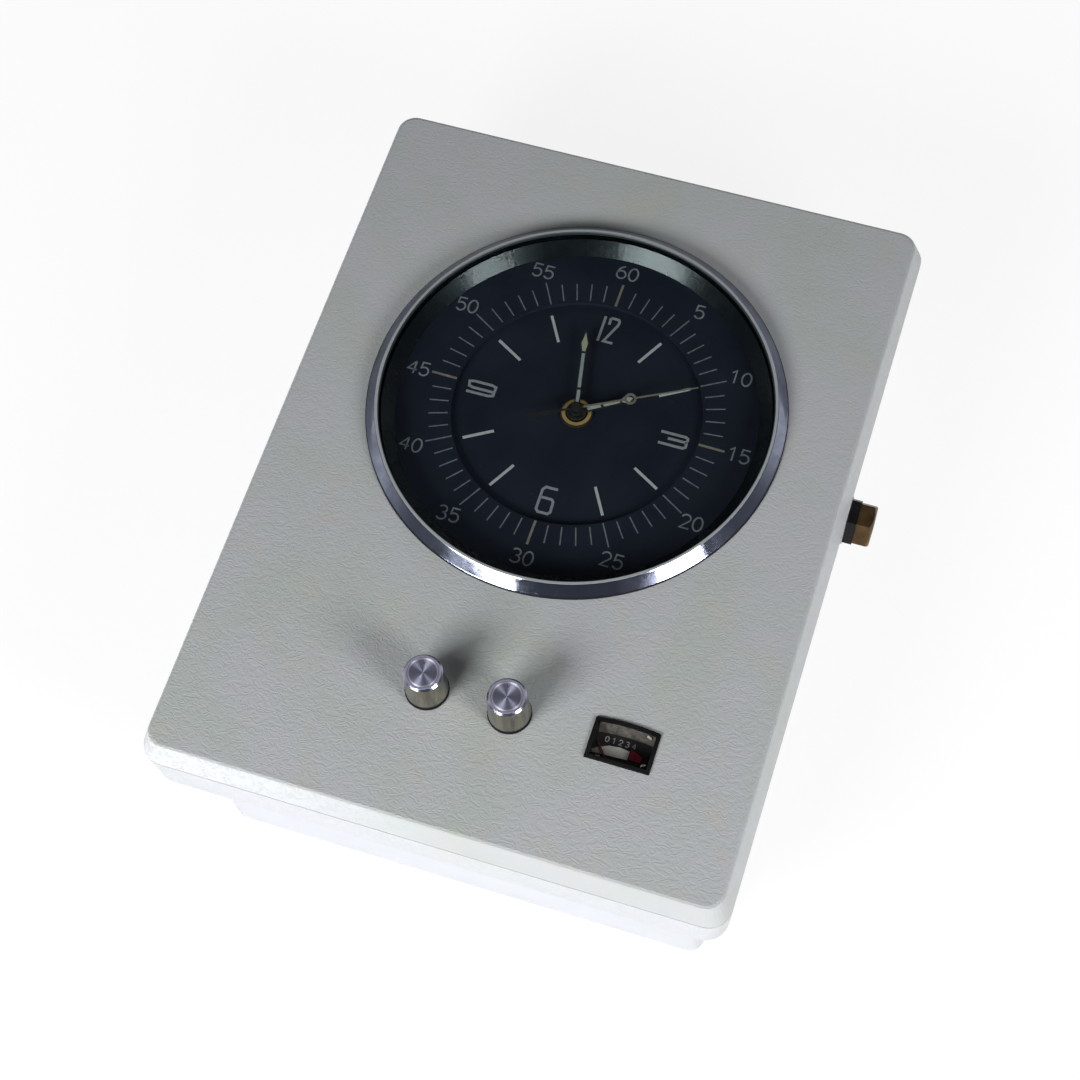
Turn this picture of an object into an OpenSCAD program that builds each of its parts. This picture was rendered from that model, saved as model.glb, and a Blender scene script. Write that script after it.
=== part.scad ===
/* [Face] */
// Width of the flat front face
face_w = 200; // [180:1:240]
// Height of the flat front face
face_h = 265.5; // [240:0.5:300]
// Corner radius of the flat front face
face_corner_r = 6; // [3:0.5:10]
// Radius of the rounded edge around the face
face_edge_r = 1.2; // [0.6:0.1:1.4]
// Thickness of the front cover's face plate
face_t = 3; // [2.5:0.1:3.5]

/* [Case] */
// Depth of the front cover's flared side walls
cover_depth = 10; // [9:0.5:12]
// How far the cover's walls flare outward towards the back
cover_flare = 4.05; // [3:0.05:5]
// Depth of the rear case
rear_case_depth = 20; // [19:0.5:26]
// How far the rear case draws in towards the back
rear_case_draft = 0.85; // [0:0.05:1.5]
// Wall of the cover and of the rear case
case_wall = 2.5; // [2:0.1:3]
// Thickness of the seal between cover and rear case
seal_t = 0.8; // [0.5:0.1:1.2]
// How far that seal stays back from the outer wall
seal_recess = 0.5; // [0.2:0.1:0.8]
// Width of the wiring window between rear case and rear box
wiring_window_w = 104; // [80:1:110]
// Height of the wiring window
wiring_window_h = 170; // [120:1:190]
// Corner radius of the wiring window
wiring_window_r = 8; // [3:1:15]
// Depth of the rear box, back plate included
rear_box_depth = 30; // [26:1:45]
// Gap between the rear box and the heads of the cover screws beside it
rear_box_gap = 0.4; // [0.3:0.1:4]
// Height of the rear box
rear_box_h = 261; // [250:1:262]
// Sideways offset of the rear box from the face's centre
rear_box_x = 8; // [4:0.5:10]
// Vertical offset of the rear box from the face's centre
rear_box_y = -2.5; // [-3:0.5:0]
// Outer corner radius of the rear box
rear_box_corner_r = 5; // [4:0.5:9]
// Sheet thickness of the rear box
box_wall = 2; // [1.5:0.1:2.5]
// Width of the rear box's inward front flange
box_flange_w = 14; // [12:0.5:18]
// Thickness of the back plate
back_plate_t = 2.4; // [2.2:0.1:3]

/* [Fixing holes in the back plate] */
// Spacing of the fixing holes across
fixing_spacing_x = 140; // [120:1:144]
// Distance of the fixing holes from the rear box's upper and lower walls
fixing_inset_y = 20.5; // [17:0.5:40]
// Radius of the tapped fixing holes
fixing_hole_r = 2.5; // [2:0.1:3]
// Depth of the tapped fixing holes
fixing_hole_depth = 9; // [7:0.5:10]
// Outer radius of their bosses
fixing_boss_r = 5; // [4.2:0.1:6]

/* [Case screws] */
// Radius of the cover screws' and box screws' threads
case_screw_r = 2; // [1.6:0.05:2.2]
// Radius of their heads
case_screw_head_r = 3.2; // [2.9:0.1:3.4]
// Height of their heads
case_screw_head_t = 2; // [1.6:0.1:2.4]
// Outer radius of the cover screws' bosses
cover_boss_r = 4.2; // [3.8:0.1:4.6]
// Distance of the cover screws from the rear case's side
cover_screw_inset = 4.6; // [4.4:0.1:5]
// Height of the cover screws above and below the face's centre
cover_screw_y = 100; // [90:1:110]
// How far the cover screws reach into the cover
cover_screw_reach = 5; // [4:0.5:6]
// How far the box screws reach into the rear case's bosses
box_screw_reach = 8; // [6:0.5:10]
// Distance of the box screws from the rear box's upper and lower walls
box_screw_inset_y = 18.5; // [14:0.5:26]
// Radius of the back plate screws' threads
plate_screw_r = 1.5; // [1.2:0.05:1.6]
// Length of the back plate screws
plate_screw_length = 9; // [7:0.5:12]
// Side of the corner blocks that the back plate screws hold in
plate_block_w = 9; // [8:0.5:10]

/* [Bezel and crystal] */
// Dial centre to the right of the face's centre
dial_x = 0.9; // [-2:0.1:4]
// Dial centre above the face's centre
dial_y = 30.2; // [26:0.1:34]
// Outer radius of the bezel at the face
bezel_r = 75.5; // [75:0.1:80]
// How far the flat rim's outer edge lies inside the bezel's radius
bezel_rim_inset = 3.6; // [3:0.1:4]
// How far the opening lies inside the bezel's radius
bezel_opening_inset = 4.8; // [4.6:0.1:5.6]
// Height of the bezel above the face
bezel_h = 4.5; // [4:0.1:6]
// Thickness of the bezel's lip over the crystal
bezel_lip_t = 1.6; // [1:0.1:1.8]
// Thickness of the bezel's gasket
bezel_gasket_t = 0.5; // [0.3:0.1:0.8]
// How far the crystal reaches under the bezel's lip
crystal_overlap = 1; // [0.8:0.1:1.3]
// Thickness of the crystal
crystal_t = 2; // [1.5:0.1:2.4]
// Wall of the bezel's neck in the case's hole
bezel_neck_wall = 1.7; // [1.4:0.1:2]

/* [Dial] */
// Depth of the minute ring below the face
chapter_depth = 3.75; // [3.5:0.05:5]
// Thickness of the minute ring
chapter_t = 1.75; // [1:0.05:2]
// Inner radius of the minute ring as a share of the bezel's opening
chapter_inner_share = 0.6435; // [0.64:0.0005:0.67]
// Thickness of the dial plate
dial_plate_t = 1; // [0.8:0.1:1.4]
// Thickness of the plate that carries dial and movement
mount_plate_t = 1.8; // [1.5:0.1:2]
// How far that plate's screws lie outside the bezel's radius
mount_screw_offset = 3; // [2.8:0.1:4]
// Radius of its screws' threads
mount_screw_r = 1.5; // [1.3:0.05:1.7]
// Radius of its screw bosses on the cover
mount_boss_r = 4; // [3.5:0.1:4]
// Length of the hour bars
hour_bar_length = 11.5; // [10:0.1:13]
// Gap between the hour bars and the minute ring
hour_bar_gap = 3.5; // [2.5:0.1:4.5]
// Width of the hour bars
hour_bar_w = 1.4; // [1:0.1:2]
// Height of the raised hour marks
hour_mark_t = 0.2; // [0.15:0.01:0.3]
// Stroke width of the large numerals
numeral_stroke = 1.15; // [0.8:0.05:1.4]
// Radius of the brass nut at the dial's centre
dial_nut_r = 5.9; // [5.2:0.1:7]
// Height of that nut
dial_nut_t = 0.8; // [0.6:0.1:1]

/* [Time shown] */
// Angle of the hour hand clockwise from twelve
hour_angle = 59.1; // [0:0.1:360]
// Angle of the minute hand clockwise from twelve
minute_angle = 349; // [0:0.1:360]
// Angle of the seconds hand clockwise from twelve
seconds_angle = 63; // [0:0.1:360]

/* [Hands] */
// Length of the hour hand
hour_hand_length = 22.3; // [20:0.1:28]
// Width of the hour hand's blade
hour_hand_w = 2.2; // [1.8:0.1:2.6]
// Width of the hour hand's spear head
hour_head_w = 4.4; // [3.6:0.1:5]
// Length of the minute hand
minute_hand_length = 33.2; // [31:0.1:40]
// Width of the minute hand's blade
minute_hand_w = 2; // [1.8:0.1:2.4]
// Width of the minute hand's spear head
minute_head_w = 3.4; // [3:0.1:4.4]
// Length of the seconds hand
seconds_hand_length = 44.5; // [40:0.1:45]
// Length of the seconds hand's tail
seconds_tail_length = 19.4; // [16:0.1:22]
// Width of the seconds hand's needle
seconds_hand_w = 0.7; // [0.5:0.1:0.9]
// Distance of the seconds hand's ring from the centre
seconds_ring_at = 19.75; // [17:0.05:24]
// Outer radius of that ring
seconds_ring_r = 2.2; // [1.8:0.1:2.6]
// Thickness of each hand
hand_t = 0.6; // [0.4:0.05:0.8]
// Height of each hand's hub
hand_hub_t = 1; // [0.8:0.05:1.1]
// Gap between one hand's hub and the next hand
hand_gap = 0.45; // [0.35:0.05:0.6]
// Border left around the luminous fill in the hands
lume_border = 0.4; // [0.25:0.05:0.5]

/* [Movement] */
// Width of the movement's plates
movement_w = 68; // [66:1:76]
// Height of the movement's plates
movement_h = 44; // [42:1:52]
// How far the plates sit off centre towards the motor
movement_shift = 2.5; // [1.5:0.1:3]
// Thickness of the movement's plates
movement_plate_t = 1.2; // [1:0.1:1.4]
// Space between the plates
train_gap = 8.5; // [8.4:0.1:9]
// Space for the motion work in front of the plates
motion_gap = 5.5; // [5.4:0.1:6]
// Radius of the pillars between the plates
pillar_r = 3; // [2.5:0.1:3.2]
// Distance of the pillars from the plates' edges
pillar_inset = 4.5; // [4:0.1:5]
// Radius of the long screws through the pillars
pillar_screw_r = 1.25; // [1:0.05:1.3]
// Radius of the thin pivots at the arbors' ends
pivot_r = 0.5; // [0.4:0.05:0.6]
// Radius of the seconds arbor
seconds_arbor_r = 0.6; // [0.5:0.05:0.65]
// Wall of the centre wheel's tube
centre_tube_wall = 0.54; // [0.5:0.02:0.6]
// Wall of the cannon pinion's pipe
cannon_wall = 0.6; // [0.5:0.05:0.7]
// Wall of the hour wheel's pipe
hour_pipe_wall = 0.7; // [0.6:0.05:0.9]
// Wall of the dial bush
dial_bush_wall = 1.2; // [1:0.05:1.4]
// Running clearance of each pivot, arbor and pipe
running_clearance = 0.06; // [0.03:0.01:0.09]
// Clearance where one fixed piece is pushed onto another
push_clearance = 0.02; // [0.01:0.01:0.03]

/* [Gear train] */
// Module of the third wheel and of the seconds pinion
seconds_pair_module = 0.34; // [0.33:0.005:0.35]
// Module of the seconds wheel and of the intermediate pinion
drive_pair_module = 0.36; // [0.35:0.005:0.37]
// Module of the intermediate wheel and of the rotor pinion
rotor_pair_module = 0.3; // [0.29:0.005:0.31]
// Module of the minute wheel and of the cannon pinion
minute_pair_module = 0.5; // [0.49:0.005:0.51]
// Direction of the third wheel from the centre
third_direction = 0; // [-10:1:10]
// Direction of the intermediate wheel and rotor from the centre
motor_direction = 200; // [195:1:205]
// Direction of the minute wheel from the centre
minute_direction = 90; // [80:1:100]
// Thickness of the brass wheels
wheel_t = 0.6; // [0.5:0.05:0.7]

/* [Motor] */
// Radius of the rotor's magnet
rotor_magnet_r = 2.5; // [2.2:0.1:2.8]
// Length of the rotor's magnet
rotor_magnet_l = 3; // [2.6:0.1:3.2]
// Air gap between rotor and stator
rotor_gap = 0.6; // [0.5:0.05:0.8]
// Thickness of the stator
stator_t = 0.8; // [0.6:0.05:1]
// Width of the stator's arms
stator_arm_w = 2.4; // [2:0.1:2.6]
// Rim of the stator round the rotor
stator_rim = 1.9; // [1.6:0.1:2.2]
// Length of the coil
coil_l = 18; // [16:0.5:19]
// Space between the coil and the stator's rim
coil_gap = 3.4; // [3:0.1:3.8]

/* [Knobs] */
// Knobs left and right of the face's centre
knob_x = 14.7; // [13:0.1:20]
// Knobs above the face's lower edge
knob_rise = 44.75; // [36:0.25:48]
// Radius of a knob at its base
knob_base_r = 7.4; // [7.3:0.1:8]
// Radius of a knob near its top
knob_top_r = 6.75; // [6.5:0.05:7]
// Height of a knob above the face
knob_h = 15.5; // [14:0.1:18]
// Thickness of the washer under a knob
knob_washer_t = 0.8; // [0.5:0.1:1]
// Gap between the washer and the knob
knob_gap = 0.3; // [0.3:0.05:0.5]
// Radius of the spun disc in a knob's top
knob_cap_r = 5.4; // [5:0.1:5.8]
// Thickness of that disc
knob_cap_t = 0.8; // [0.5:0.05:1]
// Polished chamfer at a knob's top
knob_chamfer = 0.7; // [0.4:0.05:0.8]
// Radius of the hollow under a knob
knob_hollow_r = 6.2; // [6:0.05:6.4]
// Radius of the control's shaft
control_shaft_r = 3; // [2.8:0.05:3.1]
// Radius of the control's threaded bush
control_bush_r = 4; // [3.7:0.05:4.1]
// Radius of the control's body
control_body_r = 8; // [7.5:0.1:9]
// Depth of the control's body
control_body_depth = 11; // [10:0.5:14]
// Width across flats of the control's nut
control_nut_af = 10; // [9.5:0.1:10.3]
// Thickness of the control's nut
control_nut_t = 2; // [1.5:0.1:2.5]

/* [Level meter] */
// Meter right of the face's centre
meter_x = 54.3; // [50:0.1:60]
// Middle of the meter's window above the face's lower edge
meter_rise = 45.05; // [40:0.05:48]
// Width of the meter's window frame
meter_w = 22.4; // [21:0.1:26]
// Height of the meter's window frame
meter_h = 15.4; // [14:0.1:18]
// Radius of the frame's arched top edge
meter_arch_r = 75; // [50:1:120]
// Width of the meter's body behind the face
meter_body_w = 27; // [26.8:0.1:32]
// How far the body reaches below the window
meter_body_below = 10; // [9.6:0.1:12]
// Depth of the meter's body behind the face plate
meter_body_depth = 14; // [13:0.5:18]
// Wall of the meter's case
meter_wall = 1.2; // [1:0.1:1.4]
// Height of the meter's frame above the face
meter_proud = 0.7; // [0.4:0.1:1.5]
// Thickness of the meter's window
meter_window_t = 1.2; // [0.8:0.1:1.4]
// Room for the pointer between the scale and the case's front wall
pointer_room = 1.4; // [1.3:0.1:2]
// Length of the pointer from its pivot
pointer_length = 14; // [12:0.1:14.5]
// Swing of the pointer to each side of upright
pointer_swing = 38; // [30:1:40]

/* [Cable gland] */
// Gland above the face's centre
gland_y = 23.5; // [10:0.5:40]
// Gland in front of the rear case's back
gland_up = 10; // [10:0.1:10.5]
// Radius of the gland's thread
gland_thread_r = 6; // [5.5:0.1:6.2]
// Width across flats of the gland's body
gland_af = 15.5; // [15:0.1:17]
// Thickness of the gland's hexagon
gland_flange_t = 3.4; // [2.5:0.1:5]
// Width across flats of the brass cap nut
gland_cap_af = 14.4; // [13.5:0.1:15]
// Length of the brass cap nut
gland_cap_l = 5.8; // [5.5:0.1:8]
// Radius of the cable bore
cable_bore_r = 3.2; // [2.5:0.1:3.6]
// Wall of the cap nut's end
gland_cap_end_t = 2.2; // [1.6:0.1:2.6]
// Length of the gland's thread inside the case
gland_inner_l = 8; // [7:0.5:10]
// Width across flats of the lock nut
gland_nut_af = 14; // [13:0.1:14.4]
// Thickness of the lock nut
gland_nut_t = 3; // [2.5:0.1:3.5]

/* [Electronics] */
// Width of the circuit board
board_w = 96; // [80:1:100]
// Height of the circuit board
board_h = 130; // [110:1:150]
// Thickness of the circuit board
board_t = 1.6; // [1.2:0.1:2]
// Height of the board above the back plate
board_standoff = 8; // [6:0.5:9]
// Radius of the board's standoffs
standoff_r = 3; // [2.5:0.1:3.5]
// Ways of the terminal block
terminal_ways = 4; // [2:1:5]
// Pitch of the terminal block
terminal_pitch = 6; // [5:0.5:7]
// Height of the terminal block
terminal_h = 10; // [8:0.5:12]
// Depth of the terminal block
terminal_depth = 12; // [10:0.5:14]
// Room for the wires between the gland and the terminal block
terminal_gap = 10; // [8:0.5:16]
// Width of the transformer
transformer_w = 32; // [26:1:36]
// Length of the transformer
transformer_h = 28; // [22:1:32]
// Height of the transformer
transformer_t = 14; // [10:0.5:16]
// Radius of the two capacitors
capacitor_r = 5; // [4:0.25:6]
// Height of the two capacitors
capacitor_l = 12; // [8:0.5:16]
// Width of each chip
chip_w = 8; // [6:0.5:9]
// Length of each chip
chip_h = 20; // [14:1:24]
// Height of each chip
chip_t = 3; // [2:0.25:4]
// Width of the relay
relay_w = 16; // [12:0.5:18]
// Length of the relay
relay_h = 12; // [10:0.5:14]
// Height of the relay
relay_t = 10; // [8:0.5:14]
// Width of the plug socket
socket_w = 40; // [30:1:44]
// Length of the plug socket
socket_h = 6; // [5:0.25:8]
// Height of the plug socket
socket_t = 8; // [6:0.5:10]

/* [Hidden] */
$fn = 72;
cut = 0.5;
hull_slice = 0.05;

// Heights, all measured from the back plate's outer face
rear_case_z = rear_box_depth;
cover_z = rear_case_z + rear_case_depth;
face_z = cover_z + cover_depth;
face_back_z = face_z - face_t;
rear_floor_z = rear_case_z + case_wall;
rear_top_z = cover_z - seal_t;
bezel_top_z = face_z + bezel_h;
crystal_top_z = bezel_top_z - bezel_lip_t;
crystal_z = crystal_top_z - crystal_t;
chapter_top_z = face_z - chapter_depth;
dial_top_z = chapter_top_z - chapter_t;
mount_top_z = dial_top_z - dial_plate_t;
mount_z = mount_top_z - mount_plate_t;
front_plate_top_z = mount_z - motion_gap;
front_plate_z = front_plate_top_z - movement_plate_t;
back_plate_top_z = front_plate_z - train_gap;
back_plate_z = back_plate_top_z - movement_plate_t;

// Half sizes of the case at each height
cover_back_w = face_w + 2 * cover_flare;
cover_back_h = face_h + 2 * cover_flare;
cover_back_corner_r = face_corner_r + 0.6 * cover_flare;
rear_back_w = cover_back_w - 2 * rear_case_draft;

// Radii of the coaxial pipes, from the inside out
centre_bore_r = seconds_arbor_r + running_clearance;
centre_tube_r = centre_bore_r + centre_tube_wall;
cannon_bore_r = centre_tube_r + push_clearance;
cannon_r = cannon_bore_r + cannon_wall;
hour_bore_r = cannon_r + running_clearance;
hour_pipe_r = hour_bore_r + hour_pipe_wall;
dial_bush_bore_r = hour_pipe_r + running_clearance;
dial_bush_r = dial_bush_bore_r + dial_bush_wall;

// Bezel and what seats in it
bezel_rim_r = bezel_r - bezel_rim_inset;
bezel_opening_r = bezel_r - bezel_opening_inset;
crystal_r = bezel_opening_r + crystal_overlap;
bezel_bore_r = crystal_r + 0.1;
bezel_neck_r = bezel_bore_r + bezel_neck_wall;
case_hole_r = bezel_neck_r + 0.05;
spacer_r = crystal_r - push_clearance;
dial_plate_r = spacer_r;
chapter_inner_r = chapter_inner_share * bezel_opening_r;
hour_bar_end = chapter_inner_r - hour_bar_gap;
hour_bar_start = hour_bar_end - hour_bar_length;
mount_screw_circle_r = bezel_r + mount_screw_offset;
mount_plate_r = mount_screw_circle_r + mount_boss_r;
mount_screw_angles = [45, 135, 225, 315];

// Heights of the hands
hour_hand_z = dial_top_z + dial_nut_t + 0.35;
minute_hand_z = hour_hand_z + hand_hub_t + hand_gap;
seconds_hand_z = minute_hand_z + hand_hub_t + hand_gap;
arbor_top_z = seconds_hand_z + hand_hub_t - 0.2;
cannon_top_z = minute_hand_z + hand_hub_t;
centre_tube_top_z = cannon_top_z - 0.3;
hour_pipe_top_z = hour_hand_z + hand_hub_t;

// Tooth counts of the train and of the motion work
seconds_pinion_teeth = 10;
third_wheel_teeth = 80;
third_pinion_teeth = 10;
centre_wheel_teeth = 75;
cannon_teeth = 12;
minute_wheel_teeth = 36;
minute_pinion_teeth = 10;
hour_wheel_teeth = 40;
rotor_pinion_teeth = 8;
intermediate_wheel_teeth = 48;
intermediate_pinion_teeth = 8;
seconds_wheel_teeth = 40;

// Distances between arbors, and the modules that share one distance
third_distance = seconds_pair_module * (seconds_pinion_teeth + third_wheel_teeth) / 2;
centre_pair_module = 2 * third_distance / (third_pinion_teeth + centre_wheel_teeth);
minute_distance = minute_pair_module * (cannon_teeth + minute_wheel_teeth) / 2;
hour_pair_module = 2 * minute_distance / (minute_pinion_teeth + hour_wheel_teeth);
intermediate_distance = drive_pair_module * (intermediate_pinion_teeth + seconds_wheel_teeth) / 2;
rotor_distance = rotor_pair_module * (rotor_pinion_teeth + intermediate_wheel_teeth) / 2;

third_at = polar(third_distance, third_direction);
minute_at = polar(minute_distance, minute_direction);
intermediate_at = polar(intermediate_distance, motor_direction);
rotor_at = polar(intermediate_distance + rotor_distance, motor_direction);

// Levels of the wheels above the movement's back plate
intermediate_wheel_z = back_plate_top_z + 0.4;
seconds_wheel_z = intermediate_wheel_z + wheel_t + 0.9;
seconds_pinion_z = seconds_wheel_z + wheel_t + 0.4;
third_wheel_z = seconds_pinion_z + 0.7;
third_pinion_z = third_wheel_z + wheel_t;
centre_wheel_z = third_pinion_z + 2;
minute_wheel_z = front_plate_top_z + 0.5;
hour_wheel_z = mount_z - 1.6;
pinion_l = 2;

// Motor
rotor_magnet_z = intermediate_wheel_z + wheel_t + 0.8;
stator_z = rotor_magnet_z + (rotor_magnet_l - stator_t) / 2;
stator_block = rotor_magnet_r + rotor_gap + stator_rim;
coil_r = min(3.3, stator_z + stator_t / 2 - back_plate_top_z - 0.1);
stator_bottom_y = rotor_at[1] - stator_block - stator_arm_w;
stator_top_y = stator_bottom_y + coil_l + 2 * stator_arm_w + 1;
coil_x = rotor_at[0] - stator_block - coil_r - coil_gap;

// Knobs and controls
knob_y = knob_rise - face_h / 2;
knob_z = face_z + knob_washer_t + knob_gap;
knob_top_z = face_z + knob_h;
knob_hollow_top_z = face_z + control_nut_t + 2.8;
control_bush_top_z = knob_hollow_top_z - 0.6;
control_z = face_back_z - control_body_depth;
control_bush_bore_r = control_shaft_r + running_clearance;
wiper_r = control_body_r - 2;
control_lug_w = 1.4;

// Meter
meter_y = meter_rise - face_h / 2;
meter_z = face_back_z - meter_body_depth;
meter_top_z = face_z + meter_proud;
meter_scale_z = face_back_z - meter_wall - pointer_room;
meter_scale_t = 0.6;
meter_pivot_y = meter_y - meter_h / 2 - 3.2;
meter_body_h = meter_h + meter_body_below;
meter_body_y = meter_y - meter_body_below / 2;
magnet_r = 4.6;
meter_coil_r = 3;
pointer_w = 0.5;
pointer_t = 0.3;
pointer_hub_t = 0.5;

// Gland
gland_z = rear_case_z + gland_up;
gland_side_x = rear_back_w / 2 + rear_case_draft * gland_up / rear_case_depth + 0.45;
gland_pad_r = gland_af / 2 + 1;
gland_pad_x = rear_back_w / 2 - case_wall - 0.1;
gland_flange_x = gland_side_x + gland_flange_t;
gland_cap_x = gland_flange_x + 0.1;
gland_end_x = gland_cap_x + gland_cap_l;
gland_seal_r = gland_thread_r - 1.4;
gland_seal_x = gland_flange_x + 0.6;
gland_seal_end_x = gland_end_x - gland_cap_end_t;
gland_inner_x = gland_side_x - gland_inner_l;

// Screws and blocks of the case
cover_screw_x = rear_back_w / 2 - cover_screw_inset;
rear_box_w = 2 * (cover_screw_x - case_screw_head_r - rear_box_gap - rear_box_x);
cover_screw_l = rear_case_depth + cover_screw_reach;
box_screw_boss_r = case_screw_r + 2;
box_floor_z = rear_box_depth - box_wall;
box_screw_x = rear_box_w / 2 - box_wall - box_flange_w / 2;
box_screw_y = rear_box_h / 2 - box_screw_inset_y;
fixing_spacing_y = rear_box_h - 2 * fixing_inset_y;
plate_screw_x = rear_box_w / 2 - box_wall - plate_block_w / 2;
plate_screw_y = rear_box_h / 2 - box_wall - plate_block_w / 2;

// Terminal block on the rear case's floor, near the gland
terminal_x = gland_inner_x - terminal_gap - terminal_depth;

// A point at a distance and direction from the origin
function polar(r, a) = [r * cos(a), r * sin(a), 0];

// Block with rounded upright edges, centred, standing on z = 0
module rounded_block(w, h, depth, r) {
    translate([-w / 2 + r, -h / 2, 0]) cube([w - 2 * r, h, depth]);
    translate([-w / 2, -h / 2 + r, 0]) cube([w, h - 2 * r, depth]);
    for (sx = [-1, 1], sy = [-1, 1])
        translate([sx * (w / 2 - r), sy * (h / 2 - r), 0]) cylinder(r = r, h = depth);
}

// Thin slice of a case shell at height z, grown by g beyond the face
module face_slice(z, g, corner_g) {
    translate([0, 0, z])
        rounded_block(face_w + 2 * g, face_h + 2 * g, hull_slice, face_corner_r + corner_g, $fn = 32);
}

// Tube standing on z = 0
module tube(outer_r, inner_r, depth) {
    difference() {
        cylinder(r = outer_r, h = depth);
        translate([0, 0, -cut]) cylinder(r = inner_r, h = depth + 2 * cut);
    }
}

// Hexagonal prism standing on z = 0, measured across its flats, which face +X and -X
module hexagon(af, depth) {
    rotate(30) cylinder(r = af / sqrt(3), h = depth, $fn = 6);
}

// Places its children at the dial's centre
module at_dial(z = 0) {
    translate([dial_x, dial_y, z]) children();
}

// Places its children at the four corners of a rectangle
module at_corners(x, y) {
    for (sx = [-1, 1], sy = [-1, 1])
        translate([sx * x, sy * y, 0]) children();
}

// Places its children along +X from the gland's axis
module along_gland(x) {
    translate([x, gland_y, gland_z]) rotate([0, 90, 0]) children();
}

// Outline of one toothed wheel, with a tooth centred on angle phase
module gear_outline(teeth, mod, phase) {
    pitch_r = mod * teeth / 2;
    tip_r = pitch_r + 0.8 * mod;
    root_r = pitch_r - 1.1 * mod;
    step = 360 / teeth;
    root_half = 0.27 * step;
    tip_half = 0.11 * step;
    polygon([
        for (i = [0 : teeth - 1], k = [0 : 3])
            let (a = phase + i * step + [-root_half, -tip_half, tip_half, root_half][k],
                 r = [root_r, tip_r, tip_r, root_r][k])
            [r * cos(a), r * sin(a)]
    ]);
}

// Solid toothed wheel between z and z + depth
module gear(teeth, mod, z, depth, phase) {
    translate([0, 0, z]) linear_extrude(depth) gear_outline(teeth, mod, phase);
}

// Large spoked wheel: a gear with round windows between hub and rim
module wheel_with_windows(teeth, mod, z, depth, phase, windows) {
    pitch_r = mod * teeth / 2;
    window_r = pitch_r * 0.2;
    difference() {
        gear(teeth, mod, z, depth, phase);
        for (i = [0 : windows - 1])
            translate(polar(pitch_r * 0.55, (i + 0.5) * 360 / windows) + [0, 0, z - cut])
                cylinder(r = window_r, h = depth + 2 * cut);
    }
}

// Arbor with thin pivots in both movement plates
module arbor(r) {
    translate([0, 0, back_plate_z]) cylinder(r = pivot_r, h = front_plate_top_z - back_plate_z);
    translate([0, 0, back_plate_top_z + 0.1])
        cylinder(r = r, h = front_plate_z - back_plate_top_z - 0.2);
}

module front_cover() {
    color("lightslategray")
    difference() {
        hull() {
            face_slice(face_z - hull_slice, 0, 0);
            face_slice(face_z - 0.3 * face_edge_r, 0.7 * face_edge_r, 0.4);
            face_slice(face_z - face_edge_r, 1.1 * face_edge_r, 0.8);
            face_slice(cover_z, cover_flare, 0.6 * cover_flare);
        }
        difference() {
            hull() {
                face_slice(face_back_z - hull_slice, 0.5 - case_wall, -case_wall);
                face_slice(cover_z - 2 * hull_slice, cover_flare - case_wall, 0);
            }
            at_dial(mount_top_z)
                for (a = mount_screw_angles)
                    translate(polar(mount_screw_circle_r, a))
                        cylinder(r = mount_boss_r, h = face_back_z - mount_top_z + cut);
            translate([0, 0, cover_z])
                at_corners(cover_screw_x, cover_screw_y)
                    cylinder(r = cover_boss_r, h = face_back_z - cover_z + cut);
        }
        at_dial(cover_z) cylinder(r = case_hole_r, h = cover_depth + cut);
        at_dial(mount_top_z - cut)
            for (a = mount_screw_angles)
                translate(polar(mount_screw_circle_r, a))
                    cylinder(r = mount_screw_r + push_clearance, h = face_back_z - mount_top_z + cut);
        translate([0, 0, cover_z - cut])
            at_corners(cover_screw_x, cover_screw_y)
                cylinder(r = case_screw_r + push_clearance, h = cover_screw_reach + 1 + cut);
        for (side = [-1, 1])
            translate([side * knob_x, knob_y, face_back_z - cut])
                cylinder(r = control_bush_r + 0.1, h = face_t + 2 * cut);
        translate([0, 0, face_back_z - cut]) meter_frame_block(0.2, face_t + 2 * cut);
    }
}

module case_gasket() {
    seal_grow = cover_flare - seal_recess;
    color("black")
    difference() {
        translate([0, 0, rear_top_z])
            rounded_block(face_w + 2 * seal_grow, face_h + 2 * seal_grow, seal_t,
                          cover_back_corner_r - seal_recess);
        translate([0, 0, rear_top_z - cut])
            rounded_block(cover_back_w - 2 * case_wall, cover_back_h - 2 * case_wall, seal_t + 2 * cut,
                          face_corner_r);
        translate([0, 0, rear_top_z - cut])
            at_corners(cover_screw_x, cover_screw_y) cylinder(r = cover_boss_r + 0.1, h = seal_t + 2 * cut);
    }
}

module rear_case() {
    back_grow = cover_flare - rear_case_draft;
    color("silver")
    difference() {
        union() {
            hull() {
                face_slice(rear_top_z - hull_slice, cover_flare, 0.6 * cover_flare);
                face_slice(rear_case_z, back_grow, 0.6 * cover_flare);
            }
            along_gland(gland_side_x - case_wall) cylinder(r = gland_pad_r, h = case_wall);
        }
        difference() {
            hull() {
                face_slice(rear_top_z, cover_flare - case_wall, 0);
                face_slice(rear_floor_z, back_grow - case_wall, 0);
            }
            translate([0, 0, rear_case_z])
                at_corners(cover_screw_x, cover_screw_y)
                    cylinder(r = cover_boss_r, h = rear_case_depth - seal_t);
            along_gland(gland_pad_x) cylinder(r = gland_pad_r, h = gland_side_x - gland_pad_x);
        }
        translate([0, 0, rear_case_z - cut])
            at_corners(cover_screw_x, cover_screw_y)
                cylinder(r = case_screw_r + 0.2, h = rear_case_depth + 2 * cut);
        translate([0, dial_y - 20, rear_case_z - cut])
            rounded_block(wiring_window_w, wiring_window_h, case_wall + 2 * cut, wiring_window_r);
        translate([rear_box_x, rear_box_y, rear_case_z - cut])
            at_corners(box_screw_x, box_screw_y)
                cylinder(r = case_screw_r + 0.2, h = case_wall + 2 * cut);
        along_gland(gland_pad_x - cut)
            cylinder(r = gland_thread_r + 0.1, h = gland_side_x - gland_pad_x + 2 * cut);
    }
}

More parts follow.
